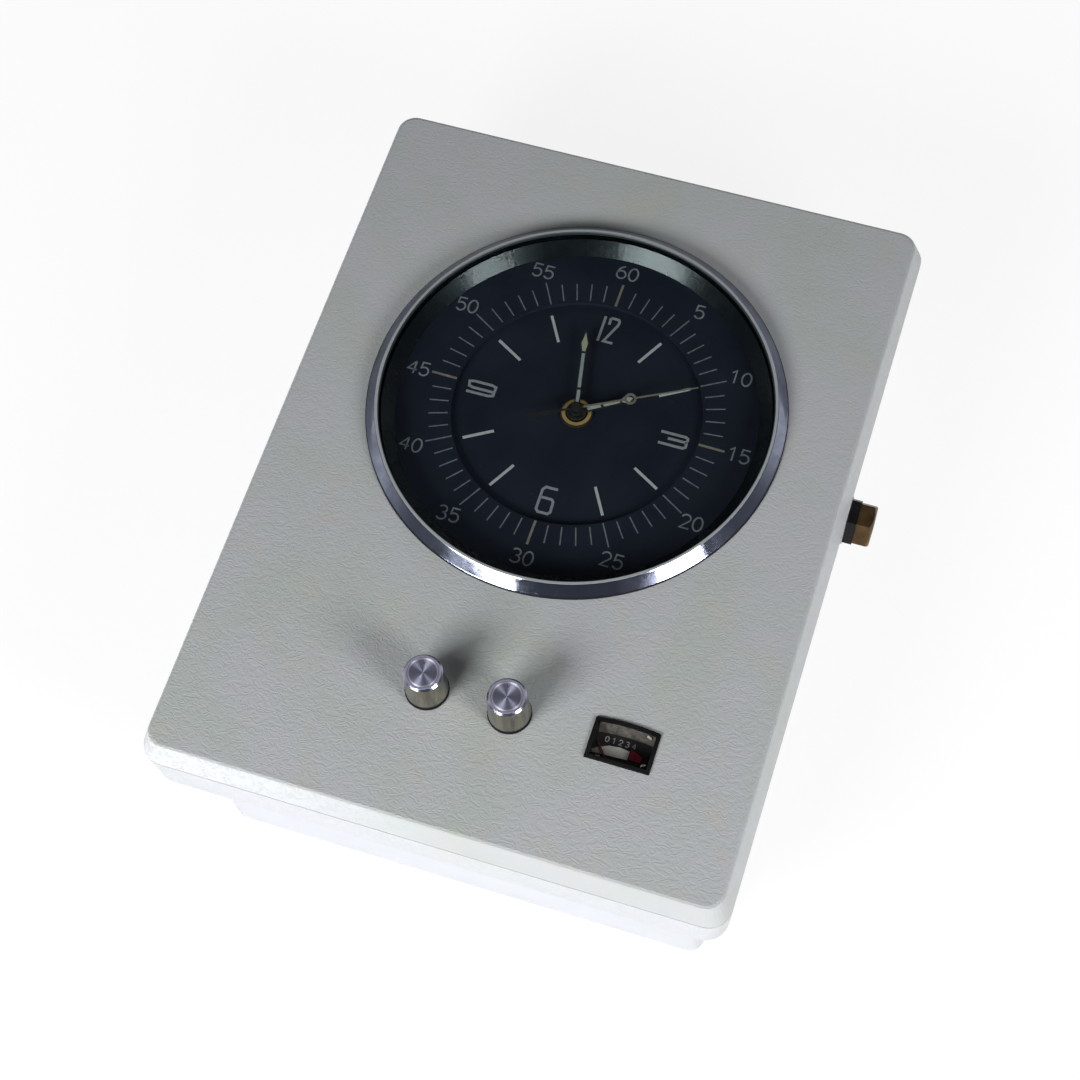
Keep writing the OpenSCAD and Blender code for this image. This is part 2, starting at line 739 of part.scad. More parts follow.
module rear_box() {
    inner_w = rear_box_w - 2 * box_wall;
    inner_h = rear_box_h - 2 * box_wall;
    inner_r = rear_box_corner_r - box_wall;
    opening_w = inner_w - 2 * box_flange_w;
    opening_h = inner_h - 2 * box_flange_w;
    color("gainsboro")
    translate([rear_box_x, rear_box_y, 0])
    difference() {
        union() {
            difference() {
                translate([0, 0, back_plate_t])
                    rounded_block(rear_box_w, rear_box_h, rear_box_depth - back_plate_t, rear_box_corner_r);
                translate([0, 0, back_plate_t - cut])
                    rounded_block(inner_w, inner_h, box_floor_z - back_plate_t + cut, inner_r);
                translate([0, 0, box_floor_z - cut])
                    rounded_block(opening_w, opening_h, box_wall + 2 * cut, wiring_window_r);
            }
            translate([0, 0, back_plate_t])
                at_corners(plate_screw_x, plate_screw_y)
                    translate([-plate_block_w / 2, -plate_block_w / 2, 0])
                        cube([plate_block_w, plate_block_w, box_floor_z - back_plate_t + cut]);
            translate([0, 0, rear_box_depth - box_screw_reach])
                at_corners(box_screw_x, box_screw_y)
                    cylinder(r = box_screw_boss_r, h = box_screw_reach);
        }
        translate([0, 0, rear_box_depth - box_screw_reach - cut])
            at_corners(box_screw_x, box_screw_y)
                cylinder(r = case_screw_r + push_clearance, h = box_screw_reach + 2 * cut);
        at_corners(plate_screw_x, plate_screw_y)
            cylinder(r = plate_screw_r + push_clearance, h = plate_screw_length + 1);
    }
}

module back_plate() {
    color("lightgray")
    difference() {
        union() {
            translate([rear_box_x, rear_box_y, 0])
                rounded_block(rear_box_w, rear_box_h, back_plate_t, rear_box_corner_r);
            at_corners(fixing_spacing_x / 2, fixing_spacing_y / 2)
                cylinder(r = fixing_boss_r, h = fixing_hole_depth + 1.5);
            translate([rear_box_x, rear_box_y, 0])
                at_corners(board_w / 2 - 5, board_h / 2 - 5)
                    cylinder(r = standoff_r, h = back_plate_t + board_standoff);
        }
        translate([0, 0, -cut])
            at_corners(fixing_spacing_x / 2, fixing_spacing_y / 2)
                cylinder(r = fixing_hole_r, h = fixing_hole_depth + cut);
        translate([rear_box_x, rear_box_y, 0])
            at_corners(plate_screw_x, plate_screw_y) {
                translate([0, 0, -cut]) cylinder(r = plate_screw_r + 0.2, h = back_plate_t + 2 * cut);
                translate([0, 0, -0.01])
                    cylinder(r1 = 2 * plate_screw_r + 0.1, r2 = plate_screw_r + 0.2, h = plate_screw_r);
            }
    }
}

// Countersunk screw, head down at z = 0
module countersunk_screw(r, depth) {
    cylinder(r1 = 2 * r - 0.1, r2 = r, h = r - 0.1);
    cylinder(r = r, h = depth);
}

// Pan-headed screw: the head from -head_t to 0, the thread upwards
module pan_screw(r, depth, head_r, head_t) {
    cylinder(r = r, h = depth);
    difference() {
        translate([0, 0, -head_t]) cylinder(r = head_r, h = head_t);
        translate([0, 0, -head_t - cut]) cylinder(r = r * 0.6, h = cut + head_t / 2, $fn = 6);
    }
}

module back_plate_screws() {
    color("silver")
    translate([rear_box_x, rear_box_y, 0.15])
        at_corners(plate_screw_x, plate_screw_y)
            countersunk_screw(plate_screw_r, plate_screw_length);
}

module cover_screws() {
    color("silver")
    translate([0, 0, rear_case_z])
        at_corners(cover_screw_x, cover_screw_y)
            pan_screw(case_screw_r, cover_screw_l, case_screw_head_r, case_screw_head_t);
}

module box_screws() {
    color("silver")
    translate([rear_box_x, rear_box_y, rear_floor_z])
        at_corners(box_screw_x, box_screw_y)
            mirror([0, 0, 1])
                pan_screw(case_screw_r, case_wall + box_screw_reach - 1, case_screw_head_r, case_screw_head_t);
}

module bezel_ring() {
    gasket_top_z = face_z + bezel_gasket_t;
    color("whitesmoke")
    at_dial()
        rotate_extrude($fn = 120)
            polygon([
                [bezel_bore_r, face_back_z],
                [bezel_neck_r, face_back_z],
                [bezel_neck_r, gasket_top_z],
                [bezel_r, gasket_top_z],
                [bezel_r - 0.05, gasket_top_z + 0.4],
                [bezel_r - 0.35, gasket_top_z + 0.7],
                [bezel_rim_r + 0.3, bezel_top_z - 0.25],
                [bezel_rim_r, bezel_top_z],
                [bezel_opening_r + 0.3, bezel_top_z],
                [bezel_opening_r, bezel_top_z - 0.3],
                [bezel_opening_r, crystal_top_z],
                [bezel_bore_r, crystal_top_z]
            ]);
}

module bezel_gasket() {
    color("black")
    at_dial(face_z) tube(bezel_r + 0.3, bezel_neck_r + 0.1, bezel_gasket_t);
}

module crystal() {
    color("lightcyan", 0.3)
    at_dial(crystal_z) cylinder(r = crystal_r, h = crystal_t);
}

module spacer_ring() {
    color("dimgray")
    at_dial(dial_top_z) tube(spacer_r, bezel_opening_r, crystal_z - dial_top_z);
}

module dial_plate() {
    color("black")
    at_dial(mount_top_z) tube(dial_plate_r, dial_bush_r + push_clearance, dial_plate_t);
}

module chapter_ring() {
    color("black")
    at_dial(dial_top_z) tube(bezel_opening_r - 0.1, chapter_inner_r, chapter_t);
}

// One stroke of constant width through a list of points, with round joints
module stroke(points, w) {
    for (i = [0 : len(points) - 2]) {
        a = points[i];
        b = points[i + 1];
        translate(a) rotate(atan2(b[1] - a[1], b[0] - a[0])) translate([0, -w / 2]) square([norm(b - a), w]);
    }
    for (p = points)
        translate(p) circle(d = w, $fn = 24);
}

// Large numerals drawn in a box w wide and h high, centred, with corners cut by c
module numeral_one(w, h) {
    stroke([[w / 2, -h / 2], [w / 2, h / 2], [-w / 2, h / 2 - w]], numeral_stroke);
}

module numeral_two(w, h, c) {
    stroke([[-w / 2, h / 2 - c], [c - w / 2, h / 2], [w / 2 - c, h / 2], [w / 2, h / 2 - c], [w / 2, c],
            [w / 2 - c, 0], [c - w / 2, 0], [-w / 2, -c], [-w / 2, -h / 2], [w / 2, -h / 2]], numeral_stroke);
}

module numeral_three(w, h, c) {
    stroke([[-w / 2, h / 2], [w / 2 - c, h / 2], [w / 2, h / 2 - c], [w / 2 - c / 2, 0], [w / 2, -h / 2 + c],
            [w / 2 - c, -h / 2], [-w / 2, -h / 2]], numeral_stroke);
    stroke([[-w / 5, 0], [w / 2 - c / 2, 0]], numeral_stroke);
}

module numeral_six(w, h, c) {
    stroke([[w / 2, h / 2], [c - w / 2, h / 2], [-w / 2, h / 2 - c], [-w / 2, c - h / 2], [c - w / 2, -h / 2],
            [w / 2 - c, -h / 2], [w / 2, c - h / 2], [w / 2, -c], [w / 2 - c, 0], [-w / 2, 0]], numeral_stroke);
}

module hour_markers() {
    side_r = hour_bar_end - 5.5;
    top_r = hour_bar_end - 7;
    tall = [7.3 - numeral_stroke, 11.7 - numeral_stroke];
    wide = [11.5 - numeral_stroke, 6.6 - numeral_stroke];
    color("honeydew")
    at_dial(dial_top_z)
        linear_extrude(hour_mark_t) {
            for (hour = [1 : 11])
                if (hour % 3 != 0)
                    rotate(-30 * hour) translate([-hour_bar_w / 2, hour_bar_start])
                        square([hour_bar_w, hour_bar_end - hour_bar_start]);
            translate([-3.2, top_r]) numeral_one(1.6, tall[1]);
            translate([2.2, top_r]) numeral_two(4.4, tall[1], 1);
            translate([side_r, 0]) numeral_three(wide[0], wide[1], 0.9);
            translate([0, -side_r]) numeral_six(tall[0], tall[1], 1.2);
            translate([-side_r, 0]) rotate(180) numeral_six(wide[0], wide[1], 0.9);
        }
}

module dial_bush() {
    flange_z = mount_z - 0.5;
    bush_top_z = dial_top_z + dial_nut_t - 0.2;
    color("sienna")
    at_dial()
        difference() {
            union() {
                translate([0, 0, flange_z]) cylinder(r = dial_bush_r + 1.6, h = 0.5);
                translate([0, 0, flange_z]) cylinder(r = dial_bush_r, h = bush_top_z - flange_z);
            }
            translate([0, 0, flange_z - cut]) cylinder(r = dial_bush_bore_r, h = 10);
        }
}

module dial_nut() {
    color("gold")
    at_dial(dial_top_z) tube(dial_nut_r, dial_bush_r + push_clearance, dial_nut_t);
}

module mount_plate() {
    color("lightgray")
    difference() {
        at_dial(mount_z) cylinder(r = mount_plate_r, h = mount_plate_t);
        at_dial(mount_z - cut) {
            cylinder(r = dial_bush_r + push_clearance, h = mount_plate_t + 2 * cut);
            for (a = mount_screw_angles)
                translate(polar(mount_screw_circle_r, a))
                    cylinder(r = mount_screw_r + 0.2, h = mount_plate_t + 2 * cut);
            at_pillars() cylinder(r = pillar_screw_r + push_clearance, h = mount_plate_t + 2 * cut);
        }
    }
}

module mount_plate_screws() {
    color("silver")
    at_dial(mount_z)
        for (a = mount_screw_angles)
            translate(polar(mount_screw_circle_r, a))
                pan_screw(mount_screw_r, face_back_z - mount_z - 0.6, mount_screw_r + 1.3, 1.5);
}

// Places its children at the movement's four pillars
module at_pillars() {
    translate([-movement_shift, 0, 0])
        at_corners(movement_w / 2 - pillar_inset, movement_h / 2 - pillar_inset) children();
}

// Blank movement plate at height z with its screw holes
module movement_plate(z) {
    difference() {
        translate([-movement_shift, 0, z])
            rounded_block(movement_w, movement_h, movement_plate_t, pillar_inset);
        translate([0, 0, z - cut])
            at_pillars() cylinder(r = pillar_screw_r + 0.1, h = movement_plate_t + 2 * cut);
        for (p = [third_at, intermediate_at, rotor_at])
            translate(p + [0, 0, z - cut])
                cylinder(r = pivot_r + running_clearance, h = movement_plate_t + 2 * cut);
    }
}

module movement_front_plate() {
    stud_r = 0.8;
    color("khaki")
    at_dial() {
        difference() {
            movement_plate(front_plate_z);
            translate([0, 0, front_plate_z - cut])
                cylinder(r = centre_tube_r + running_clearance, h = movement_plate_t + 2 * cut);
        }
        translate(minute_at + [0, 0, front_plate_top_z - 0.2]) cylinder(r = stud_r, h = motion_gap - 0.2);
    }
}

module movement_back_plate() {
    color("khaki")
    at_dial()
        difference() {
            movement_plate(back_plate_z);
            translate([0, 0, back_plate_z - cut])
                cylinder(r = pivot_r + running_clearance, h = movement_plate_t + 2 * cut);
        }
}

module movement_spacers() {
    color("silver")
    at_dial()
        at_pillars() {
            translate([0, 0, back_plate_top_z]) tube(pillar_r, pillar_screw_r + 0.1, train_gap);
            translate([0, 0, front_plate_top_z]) tube(pillar_r, pillar_screw_r + 0.1, motion_gap);
        }
}

module movement_screws() {
    color("silver")
    at_dial(back_plate_z)
        at_pillars() pan_screw(pillar_screw_r, mount_top_z - back_plate_z - 0.2, 2 * pillar_screw_r, 1.2);
}

module motor_stator() {
    block = 2 * stator_block;
    arm_l = rotor_at[0] + stator_arm_w - coil_x;
    color("gray")
    at_dial(stator_z)
        difference() {
            union() {
                translate(rotor_at + [-stator_block, -stator_block, 0]) cube([block, block, stator_t]);
                translate([coil_x - stator_arm_w / 2, stator_bottom_y, 0])
                    cube([stator_arm_w, stator_top_y - stator_bottom_y, stator_t]);
                translate([coil_x - stator_arm_w / 2, stator_bottom_y, 0])
                    cube([arm_l, stator_arm_w + 0.1, stator_t]);
                translate([coil_x - stator_arm_w / 2, stator_top_y - stator_arm_w, 0])
                    cube([arm_l, stator_arm_w, stator_t]);
                translate([rotor_at[0] - stator_arm_w / 2, rotor_at[1] + stator_block - 0.1, 0])
                    cube([stator_arm_w, stator_top_y - rotor_at[1] - stator_block + 0.1, stator_t]);
            }
            translate(rotor_at + [0, 0, -cut]) cylinder(r = rotor_magnet_r + rotor_gap, h = stator_t + 2 * cut);
        }
}

module motor_coil() {
    middle_y = (stator_top_y + stator_bottom_y) / 2;
    color("peru")
    at_dial(stator_z + stator_t / 2)
        difference() {
            translate([coil_x, middle_y, 0]) rotate([90, 0, 0]) {
                cylinder(r = coil_r - 0.4, h = coil_l, center = true);
                for (end = [-1, 1])
                    translate([0, 0, end * (coil_l / 2 - 0.4)]) cylinder(r = coil_r, h = 0.8, center = true);
            }
            translate([coil_x - stator_arm_w / 2 - 0.05, middle_y - coil_l, -stator_t / 2 - 0.05])
                cube([stator_arm_w + 0.1, 2 * coil_l, stator_t + 0.1]);
        }
}

module motor_rotor() {
    color("darkslategray")
    at_dial()
        translate(rotor_at) {
            arbor(pivot_r);
            translate([0, 0, rotor_magnet_z]) cylinder(r = rotor_magnet_r, h = rotor_magnet_l);
            gear(rotor_pinion_teeth, rotor_pair_module, intermediate_wheel_z - 0.2, wheel_t + 0.6,
                 motor_direction + 180 + 180 / rotor_pinion_teeth);
        }
}

module intermediate_wheel() {
    color("ivory")
    at_dial()
        translate(intermediate_at) {
            arbor(pivot_r);
            gear(intermediate_wheel_teeth, rotor_pair_module, intermediate_wheel_z, wheel_t, motor_direction);
            gear(intermediate_pinion_teeth, drive_pair_module, intermediate_wheel_z + wheel_t / 2,
                 seconds_wheel_z - intermediate_wheel_z + wheel_t,
                 motor_direction + 180 + 180 / intermediate_pinion_teeth);
        }
}

module seconds_wheel() {
    color("gold")
    at_dial() {
        translate([0, 0, back_plate_z]) cylinder(r = pivot_r, h = movement_plate_t + 1);
        translate([0, 0, back_plate_top_z + 0.1])
            cylinder(r = seconds_arbor_r, h = arbor_top_z - back_plate_top_z - 0.1);
        wheel_with_windows(seconds_wheel_teeth, drive_pair_module, seconds_wheel_z, wheel_t,
                           motor_direction, 5);
        gear(seconds_pinion_teeth, seconds_pair_module, seconds_pinion_z, pinion_l, third_direction);
    }
}

module third_wheel() {
    color("goldenrod")
    at_dial()
        translate(third_at) {
            arbor(pivot_r);
            wheel_with_windows(third_wheel_teeth, seconds_pair_module, third_wheel_z, wheel_t,
                               third_direction + 180 + 180 / third_wheel_teeth, 6);
            gear(third_pinion_teeth, centre_pair_module, third_pinion_z - 0.1, 3.1, third_direction + 180);
        }
}

module centre_wheel() {
    color("gold")
    at_dial()
        difference() {
            union() {
                wheel_with_windows(centre_wheel_teeth, centre_pair_module, centre_wheel_z, wheel_t,
                                   third_direction + 180 / centre_wheel_teeth, 6);
                translate([0, 0, centre_wheel_z - 0.3])
                    cylinder(r = centre_tube_r, h = centre_tube_top_z - centre_wheel_z + 0.3);
            }
            translate([0, 0, centre_wheel_z - 0.3 - cut])
                cylinder(r = centre_bore_r, h = centre_tube_top_z - centre_wheel_z + 1);
        }
}

module cannon_pinion() {
    color("silver")
    at_dial()
        difference() {
            union() {
                gear(cannon_teeth, minute_pair_module, front_plate_top_z + 0.3, wheel_t + 0.5,
                     minute_direction);
                translate([0, 0, front_plate_top_z + 0.3])
                    cylinder(r = cannon_r, h = cannon_top_z - front_plate_top_z - 0.3);
            }
            translate([0, 0, front_plate_top_z - cut])
                cylinder(r = cannon_bore_r, h = cannon_top_z - front_plate_top_z + 2 * cut);
        }
}

module minute_wheel() {
    pinion_top_z = hour_wheel_z + wheel_t + 0.3;
    color("goldenrod")
    at_dial()
        translate(minute_at)
            difference() {
                union() {
                    gear(minute_wheel_teeth, minute_pair_module, minute_wheel_z, wheel_t,
                         minute_direction + 180 + 180 / minute_wheel_teeth);
                    gear(minute_pinion_teeth, hour_pair_module, minute_wheel_z, pinion_top_z - minute_wheel_z,
                         minute_direction + 180);
                }
                translate([0, 0, minute_wheel_z - cut])
                    cylinder(r = 0.8 + running_clearance, h = pinion_top_z - minute_wheel_z + 2 * cut);
            }
}

module hour_wheel() {
    color("gold")
    at_dial()
        difference() {
            union() {
                gear(hour_wheel_teeth, hour_pair_module, hour_wheel_z, wheel_t,
                     minute_direction + 180 / hour_wheel_teeth);
                translate([0, 0, hour_wheel_z - 0.6])
                    cylinder(r = hour_pipe_r, h = hour_pipe_top_z - hour_wheel_z + 0.6);
            }
            translate([0, 0, hour_wheel_z - 0.6 - cut])
                cylinder(r = hour_bore_r, h = hour_pipe_top_z - hour_wheel_z + 2);
        }
}

// Outline of a spear hand along +Y: blade, then a head that comes to a point
module spear_outline(length, blade_w, head_w, head_start) {
    widest = head_start + 0.4 * (length - head_start);
    polygon([[-blade_w / 2, 0], [blade_w / 2, 0], [blade_w / 2, head_start], [head_w / 2, widest], [0, length],
             [-head_w / 2, widest], [-blade_w / 2, head_start]]);
}

// Luminous windows of a spear hand: two bars in the blade and one in the head
module lume_outline(length, blade_w, head_w, head_start, first, gap_at) {
    bar_w = blade_w - 2 * lume_border;
    for (bar = [[first, gap_at - 0.5], [gap_at + 0.5, head_start - 0.5]])
        translate([-bar_w / 2, bar[0]]) square([bar_w, bar[1] - bar[0]]);
    translate([0, head_start + lume_border])
        spear_outline(length - head_start - 4 * lume_border, bar_w, head_w - 2.6 * lume_border, 0.2);
}

// Hand with its hub and the hole for its pipe
module spear_hand(length, blade_w, head_w, head_start, first, gap_at, hub_r, bore_r) {
    difference() {
        union() {
            linear_extrude(hand_t)
                difference() {
                    spear_outline(length, blade_w, head_w, head_start);
                    lume_outline(length, blade_w, head_w, head_start, first, gap_at);
                }
            cylinder(r = hub_r, h = hand_hub_t);
        }
        translate([0, 0, -cut]) cylinder(r = bore_r, h = hand_hub_t + 2 * cut);
    }
}

hour_head_start = hour_hand_length - 5.8;
hour_lume_start = hour_pipe_r + 1.4;
hour_lume_gap = 9.5;
minute_head_start = minute_hand_length - 9.5;
minute_lume_start = cannon_r + 1.1;
minute_lume_gap = 8.5;

module hour_hand() {
    color("dimgray")
    at_dial(hour_hand_z) rotate(-hour_angle)
        spear_hand(hour_hand_length, hour_hand_w, hour_head_w, hour_head_start, hour_lume_start, hour_lume_gap,
                   hour_pipe_r + 1, hour_pipe_r + push_clearance);
}

module hour_hand_lume() {
    color("honeydew")
    at_dial(hour_hand_z) rotate(-hour_angle)
        linear_extrude(hand_t)
            lume_outline(hour_hand_length, hour_hand_w, hour_head_w, hour_head_start, hour_lume_start,
                         hour_lume_gap);
}

module minute_hand() {
    color("dimgray")
    at_dial(minute_hand_z) rotate(-minute_angle)
        spear_hand(minute_hand_length, minute_hand_w, minute_head_w, minute_head_start, minute_lume_start,
                   minute_lume_gap, cannon_r + 0.7, cannon_r + push_clearance);
}

module minute_hand_lume() {
    color("honeydew")
    at_dial(minute_hand_z) rotate(-minute_angle)
        linear_extrude(hand_t)
            lume_outline(minute_hand_length, minute_hand_w, minute_head_w, minute_head_start, minute_lume_start,
                         minute_lume_gap);
}

module seconds_hand() {
    tip_w = seconds_hand_w * 0.5;
    tail_start = 9;
    color("lightgray")
    at_dial(seconds_hand_z) rotate(-seconds_angle)
        difference() {
            union() {
                linear_extrude(hand_t * 0.7) {
                    polygon([[-seconds_hand_w / 2, -tail_start], [seconds_hand_w / 2, -tail_start],
                             [tip_w / 2, seconds_hand_length], [-tip_w / 2, seconds_hand_length]]);
                    translate([-seconds_hand_w, -seconds_tail_length])
                        square([2 * seconds_hand_w, seconds_tail_length - tail_start]);
                    translate([0, seconds_ring_at]) circle(r = seconds_ring_r);
                }
                cylinder(r = seconds_arbor_r + 1, h = hand_hub_t);
            }
            translate([0, seconds_ring_at, -cut]) cylinder(r = seconds_ring_r - 0.8, h = hand_hub_t + 2 * cut);
            translate([0, 0, -cut]) cylinder(r = seconds_arbor_r + push_clearance, h = cut + hand_hub_t - 0.15);
        }
}

// Hollow spun knob on the side given as -1 or 1
module knob(side) {
    rim_z = knob_top_z - knob_chamfer;
    cap_seat_z = knob_top_z - knob_cap_t;
    bore_r = control_shaft_r + push_clearance;
    bore_top_z = cap_seat_z - 1.2;
    color("silver")
    translate([side * knob_x, knob_y, 0])
        rotate_extrude()
            polygon([
                [knob_hollow_r, knob_z],
                [knob_base_r, knob_z],
                [knob_base_r, knob_z + 0.6],
                [knob_top_r, rim_z],
                [knob_top_r - knob_chamfer, knob_top_z],
                [knob_cap_r + push_clearance, knob_top_z],
                [knob_cap_r + push_clearance, cap_seat_z],
                [0, cap_seat_z],
                [0, bore_top_z],
                [bore_r, bore_top_z],
                [bore_r, knob_hollow_top_z],
                [knob_hollow_r, knob_hollow_top_z]
            ]);
}

// Spun disc with a small index dimple, turned by the angle given
module knob_cap(side, turn) {
    dimple_r = 0.5;
    color("gainsboro")
    translate([side * knob_x, knob_y, knob_top_z - knob_cap_t])
        difference() {
            cylinder(r = knob_cap_r, h = knob_cap_t - 0.05);
            rotate(turn) translate([0, knob_cap_r - 1.6, knob_cap_t - 0.35]) cylinder(r = dimple_r, h = 1);
        }
}

module control_shaft(side) {
    shaft_z = control_z + 2.4;
    color("silver")
    translate([side * knob_x, knob_y, 0]) {
        translate([0, 0, shaft_z])
            cylinder(r = control_shaft_r, h = knob_top_z - knob_cap_t - 1.4 - shaft_z);
        translate([0, 0, shaft_z]) cylinder(r = wiper_r, h = 1.2);
    }
}

module control_body(side) {
    color("steelblue")
    translate([side * knob_x, knob_y, 0])
        difference() {
            union() {
                translate([0, 0, control_z]) cylinder(r = control_body_r, h = control_body_depth);
                translate([0, 0, face_back_z - cut])
                    cylinder(r = control_bush_r, h = control_bush_top_z - face_back_z + cut);
                for (i = [-1 : 1])
                    translate([4 * i - control_lug_w / 2, -control_body_r - 4, control_z + 0.5])
                        cube([control_lug_w, 6, 0.6]);
            }
            translate([0, 0, control_z + 2]) cylinder(r = control_body_r - 1, h = control_body_depth - 4);
            translate([0, 0, control_z + 3])
                cylinder(r = control_bush_bore_r, h = control_bush_top_z - control_z);
        }
}

module control_nuts() {
    color("silver")
    for (side = [-1, 1])
        translate([side * knob_x, knob_y, face_z])
            difference() {
                hexagon(control_nut_af, control_nut_t);
                translate([0, 0, -cut])
                    cylinder(r = control_bush_r + push_clearance, h = control_nut_t + 2 * cut);
            }
}

module knob_washers() {
    color("black")
    for (side = [-1, 1])
        translate([side * knob_x, knob_y, face_z]) tube(knob_base_r + 0.25, knob_hollow_r, knob_washer_t);
}

// Outline block of the meter's frame, grown by g, with an arched top edge
module meter_frame_block(g, depth) {
    top_y = meter_y + meter_h / 2 + g;
    intersection() {
        translate([meter_x - meter_w / 2 - g, meter_y - meter_h / 2 - g, 0])
            cube([meter_w + 2 * g, meter_h + 2 * g, depth]);
        translate([meter_x, top_y - meter_arch_r, 0]) cylinder(r = meter_arch_r, h = depth, $fn = 180);
    }
}

module meter_case() {
    inner_w = meter_body_w - 2 * meter_wall;
    inner_h = meter_body_h - 2 * meter_wall;
    color("black")
    difference() {
        union() {
            translate([meter_x - meter_body_w / 2, meter_body_y - meter_body_h / 2, meter_z])
                cube([meter_body_w, meter_body_h, meter_body_depth]);
            translate([0, 0, face_back_z - cut]) meter_frame_block(0, meter_top_z - face_back_z + cut);
        }
        translate([meter_x - inner_w / 2, meter_body_y - inner_h / 2, meter_z + meter_wall])
            cube([inner_w, inner_h, meter_body_depth - 2 * meter_wall]);
        translate([0, 0, face_back_z - 2 * meter_wall]) meter_frame_block(-meter_wall, 20);
        translate([meter_x, meter_pivot_y, meter_z - cut])
            cylinder(r = pivot_r + running_clearance, h = meter_wall + 2 * cut);
    }
}

module meter_window() {
    window_top_z = meter_top_z - 0.1;
    color("white", 0.4)
    translate([0, 0, window_top_z - meter_window_t]) meter_frame_block(-meter_wall - 0.05, meter_window_t);
}

module meter_scale() {
    scale_w = meter_body_w - 2 * meter_wall - 0.1;
    scale_h = meter_body_h - 2 * meter_wall - 0.1;
    color("dimgray")
    difference() {
        translate([meter_x - scale_w / 2, meter_body_y - scale_h / 2, meter_scale_z - meter_scale_t])
            cube([scale_w, scale_h, meter_scale_t]);
        translate([meter_x, meter_pivot_y, meter_scale_z - meter_scale_t - cut])
            cylinder(r = pivot_r + running_clearance, h = meter_scale_t + 2 * cut);
    }
}

module meter_magnet() {
    color("gray")
    translate([meter_x, meter_pivot_y, meter_z + meter_wall + 0.05]) tube(magnet_r, meter_coil_r + 0.5, 6);
}

module meter_pointer() {
    coil_z = meter_z + meter_wall + 0.6;
    pointer_z = meter_scale_z + 0.5;
    color("crimson")
    translate([meter_x, meter_pivot_y, 0]) {
        translate([0, 0, meter_z + 0.2]) cylinder(r = pivot_r, h = pointer_z - meter_z);
        translate([0, 0, coil_z]) cylinder(r = meter_coil_r, h = 5);
        rotate(pointer_swing)
            translate([-pointer_w / 2, -2, pointer_z]) cube([pointer_w, pointer_length + 2, pointer_t]);
        translate([0, 0, pointer_z - 0.1]) cylinder(r = 1.2, h = pointer_hub_t);
    }
}

module gland_body() {
    color([0.06, 0.06, 0.06])
    difference() {
        union() {
            along_gland(gland_inner_x) cylinder(r = gland_thread_r, h = gland_inner_l);
            along_gland(gland_side_x) hexagon(gland_af, gland_flange_t);
            along_gland(gland_flange_x - 0.1)
                cylinder(r = gland_thread_r - 0.2, h = gland_seal_end_x - gland_flange_x - 0.4);
        }
        along_gland(gland_inner_x - cut) cylinder(r = cable_bore_r, h = gland_end_x - gland_inner_x);
        along_gland(gland_seal_x) cylinder(r = gland_seal_r, h = gland_cap_l);
    }
}

module gland_seal() {
    color("dimgray")
    along_gland(gland_seal_x)
        tube(gland_seal_r - push_clearance, cable_bore_r, gland_seal_end_x - gland_seal_x);
}

module gland_cap_nut() {
    chamfer = 0.9;
    corner_r = gland_cap_af / sqrt(3);
    color("goldenrod")
    difference() {
        intersection() {
            along_gland(gland_cap_x) hexagon(gland_cap_af, gland_cap_l);
            along_gland(gland_cap_x)
                rotate_extrude()
                    polygon([[0, 0], [corner_r, 0], [corner_r, gland_cap_l - chamfer],
                             [corner_r - 1.6 * chamfer, gland_cap_l], [0, gland_cap_l]]);
        }
        along_gland(gland_cap_x - cut)
            cylinder(r = gland_thread_r - 0.2 + push_clearance, h = cut + gland_cap_l - gland_cap_end_t);
        along_gland(gland_cap_x - cut) cylinder(r = cable_bore_r, h = gland_cap_l + 2 * cut);
    }
}

module gland_lock_nut() {
    color([0.1, 0.1, 0.1])
    along_gland(gland_pad_x - gland_nut_t)
        difference() {
            hexagon(gland_nut_af, gland_nut_t);
            translate([0, 0, -cut]) cylinder(r = gland_thread_r + push_clearance, h = gland_nut_t + 2 * cut);
        }
}

module circuit_board() {
    color("darkgreen")
    translate([rear_box_x, rear_box_y, back_plate_t + board_standoff])
        difference() {
            translate([-board_w / 2, -board_h / 2, 0]) cube([board_w, board_h, board_t]);
            translate([0, 0, -cut])
                at_corners(board_w / 2 - 5, board_h / 2 - 5) cylinder(r = 1.6, h = board_t + 2 * cut);
        }
}

// Parts soldered on the board: transformer, two capacitors, four chips, a relay and a plug socket
module board_components() {
    top_z = back_plate_t + board_standoff + board_t;
    room = box_floor_z - top_z;
    color("darkslateblue")
    translate([rear_box_x, rear_box_y, top_z]) {
        translate([-board_w * 0.4, -board_h * 0.36, 0])
            cube([transformer_w, transformer_h, min(transformer_t, room)]);
        for (i = [0, 1])
            translate([board_w * 0.05 + 2.8 * capacitor_r * i, -board_h * 0.28, 0])
                cylinder(r = capacitor_r, h = min(capacitor_l, room));
        for (i = [0 : 3])
            translate([-board_w * 0.3 + 2.25 * chip_w * i, board_h * 0.1, 0]) cube([chip_w, chip_h, chip_t]);
        translate([board_w * 0.2, -board_h * 0.1, 0]) cube([relay_w, relay_h, min(relay_t, room)]);
        translate([-board_w * 0.3, board_h * 0.34, 0]) cube([socket_w, socket_h, min(socket_t, room)]);
    }
}

module terminal_block() {
    block_l = terminal_ways * terminal_pitch + 2;
    color("white")
    translate([terminal_x, gland_y - block_l / 2, rear_floor_z])
        difference() {
            cube([terminal_depth, block_l, terminal_h]);
            for (i = [0 : terminal_ways - 1]) {
                translate([terminal_depth / 2, 1 + terminal_pitch * (i + 0.5), terminal_h / 2])
                    cylinder(r = 1.6, h = terminal_h);
                translate([terminal_depth / 2, 1 + terminal_pitch * (i + 0.5), 3])
                    rotate([0, 90, 0]) cylinder(r = 1.3, h = terminal_depth);
            }
        }
}

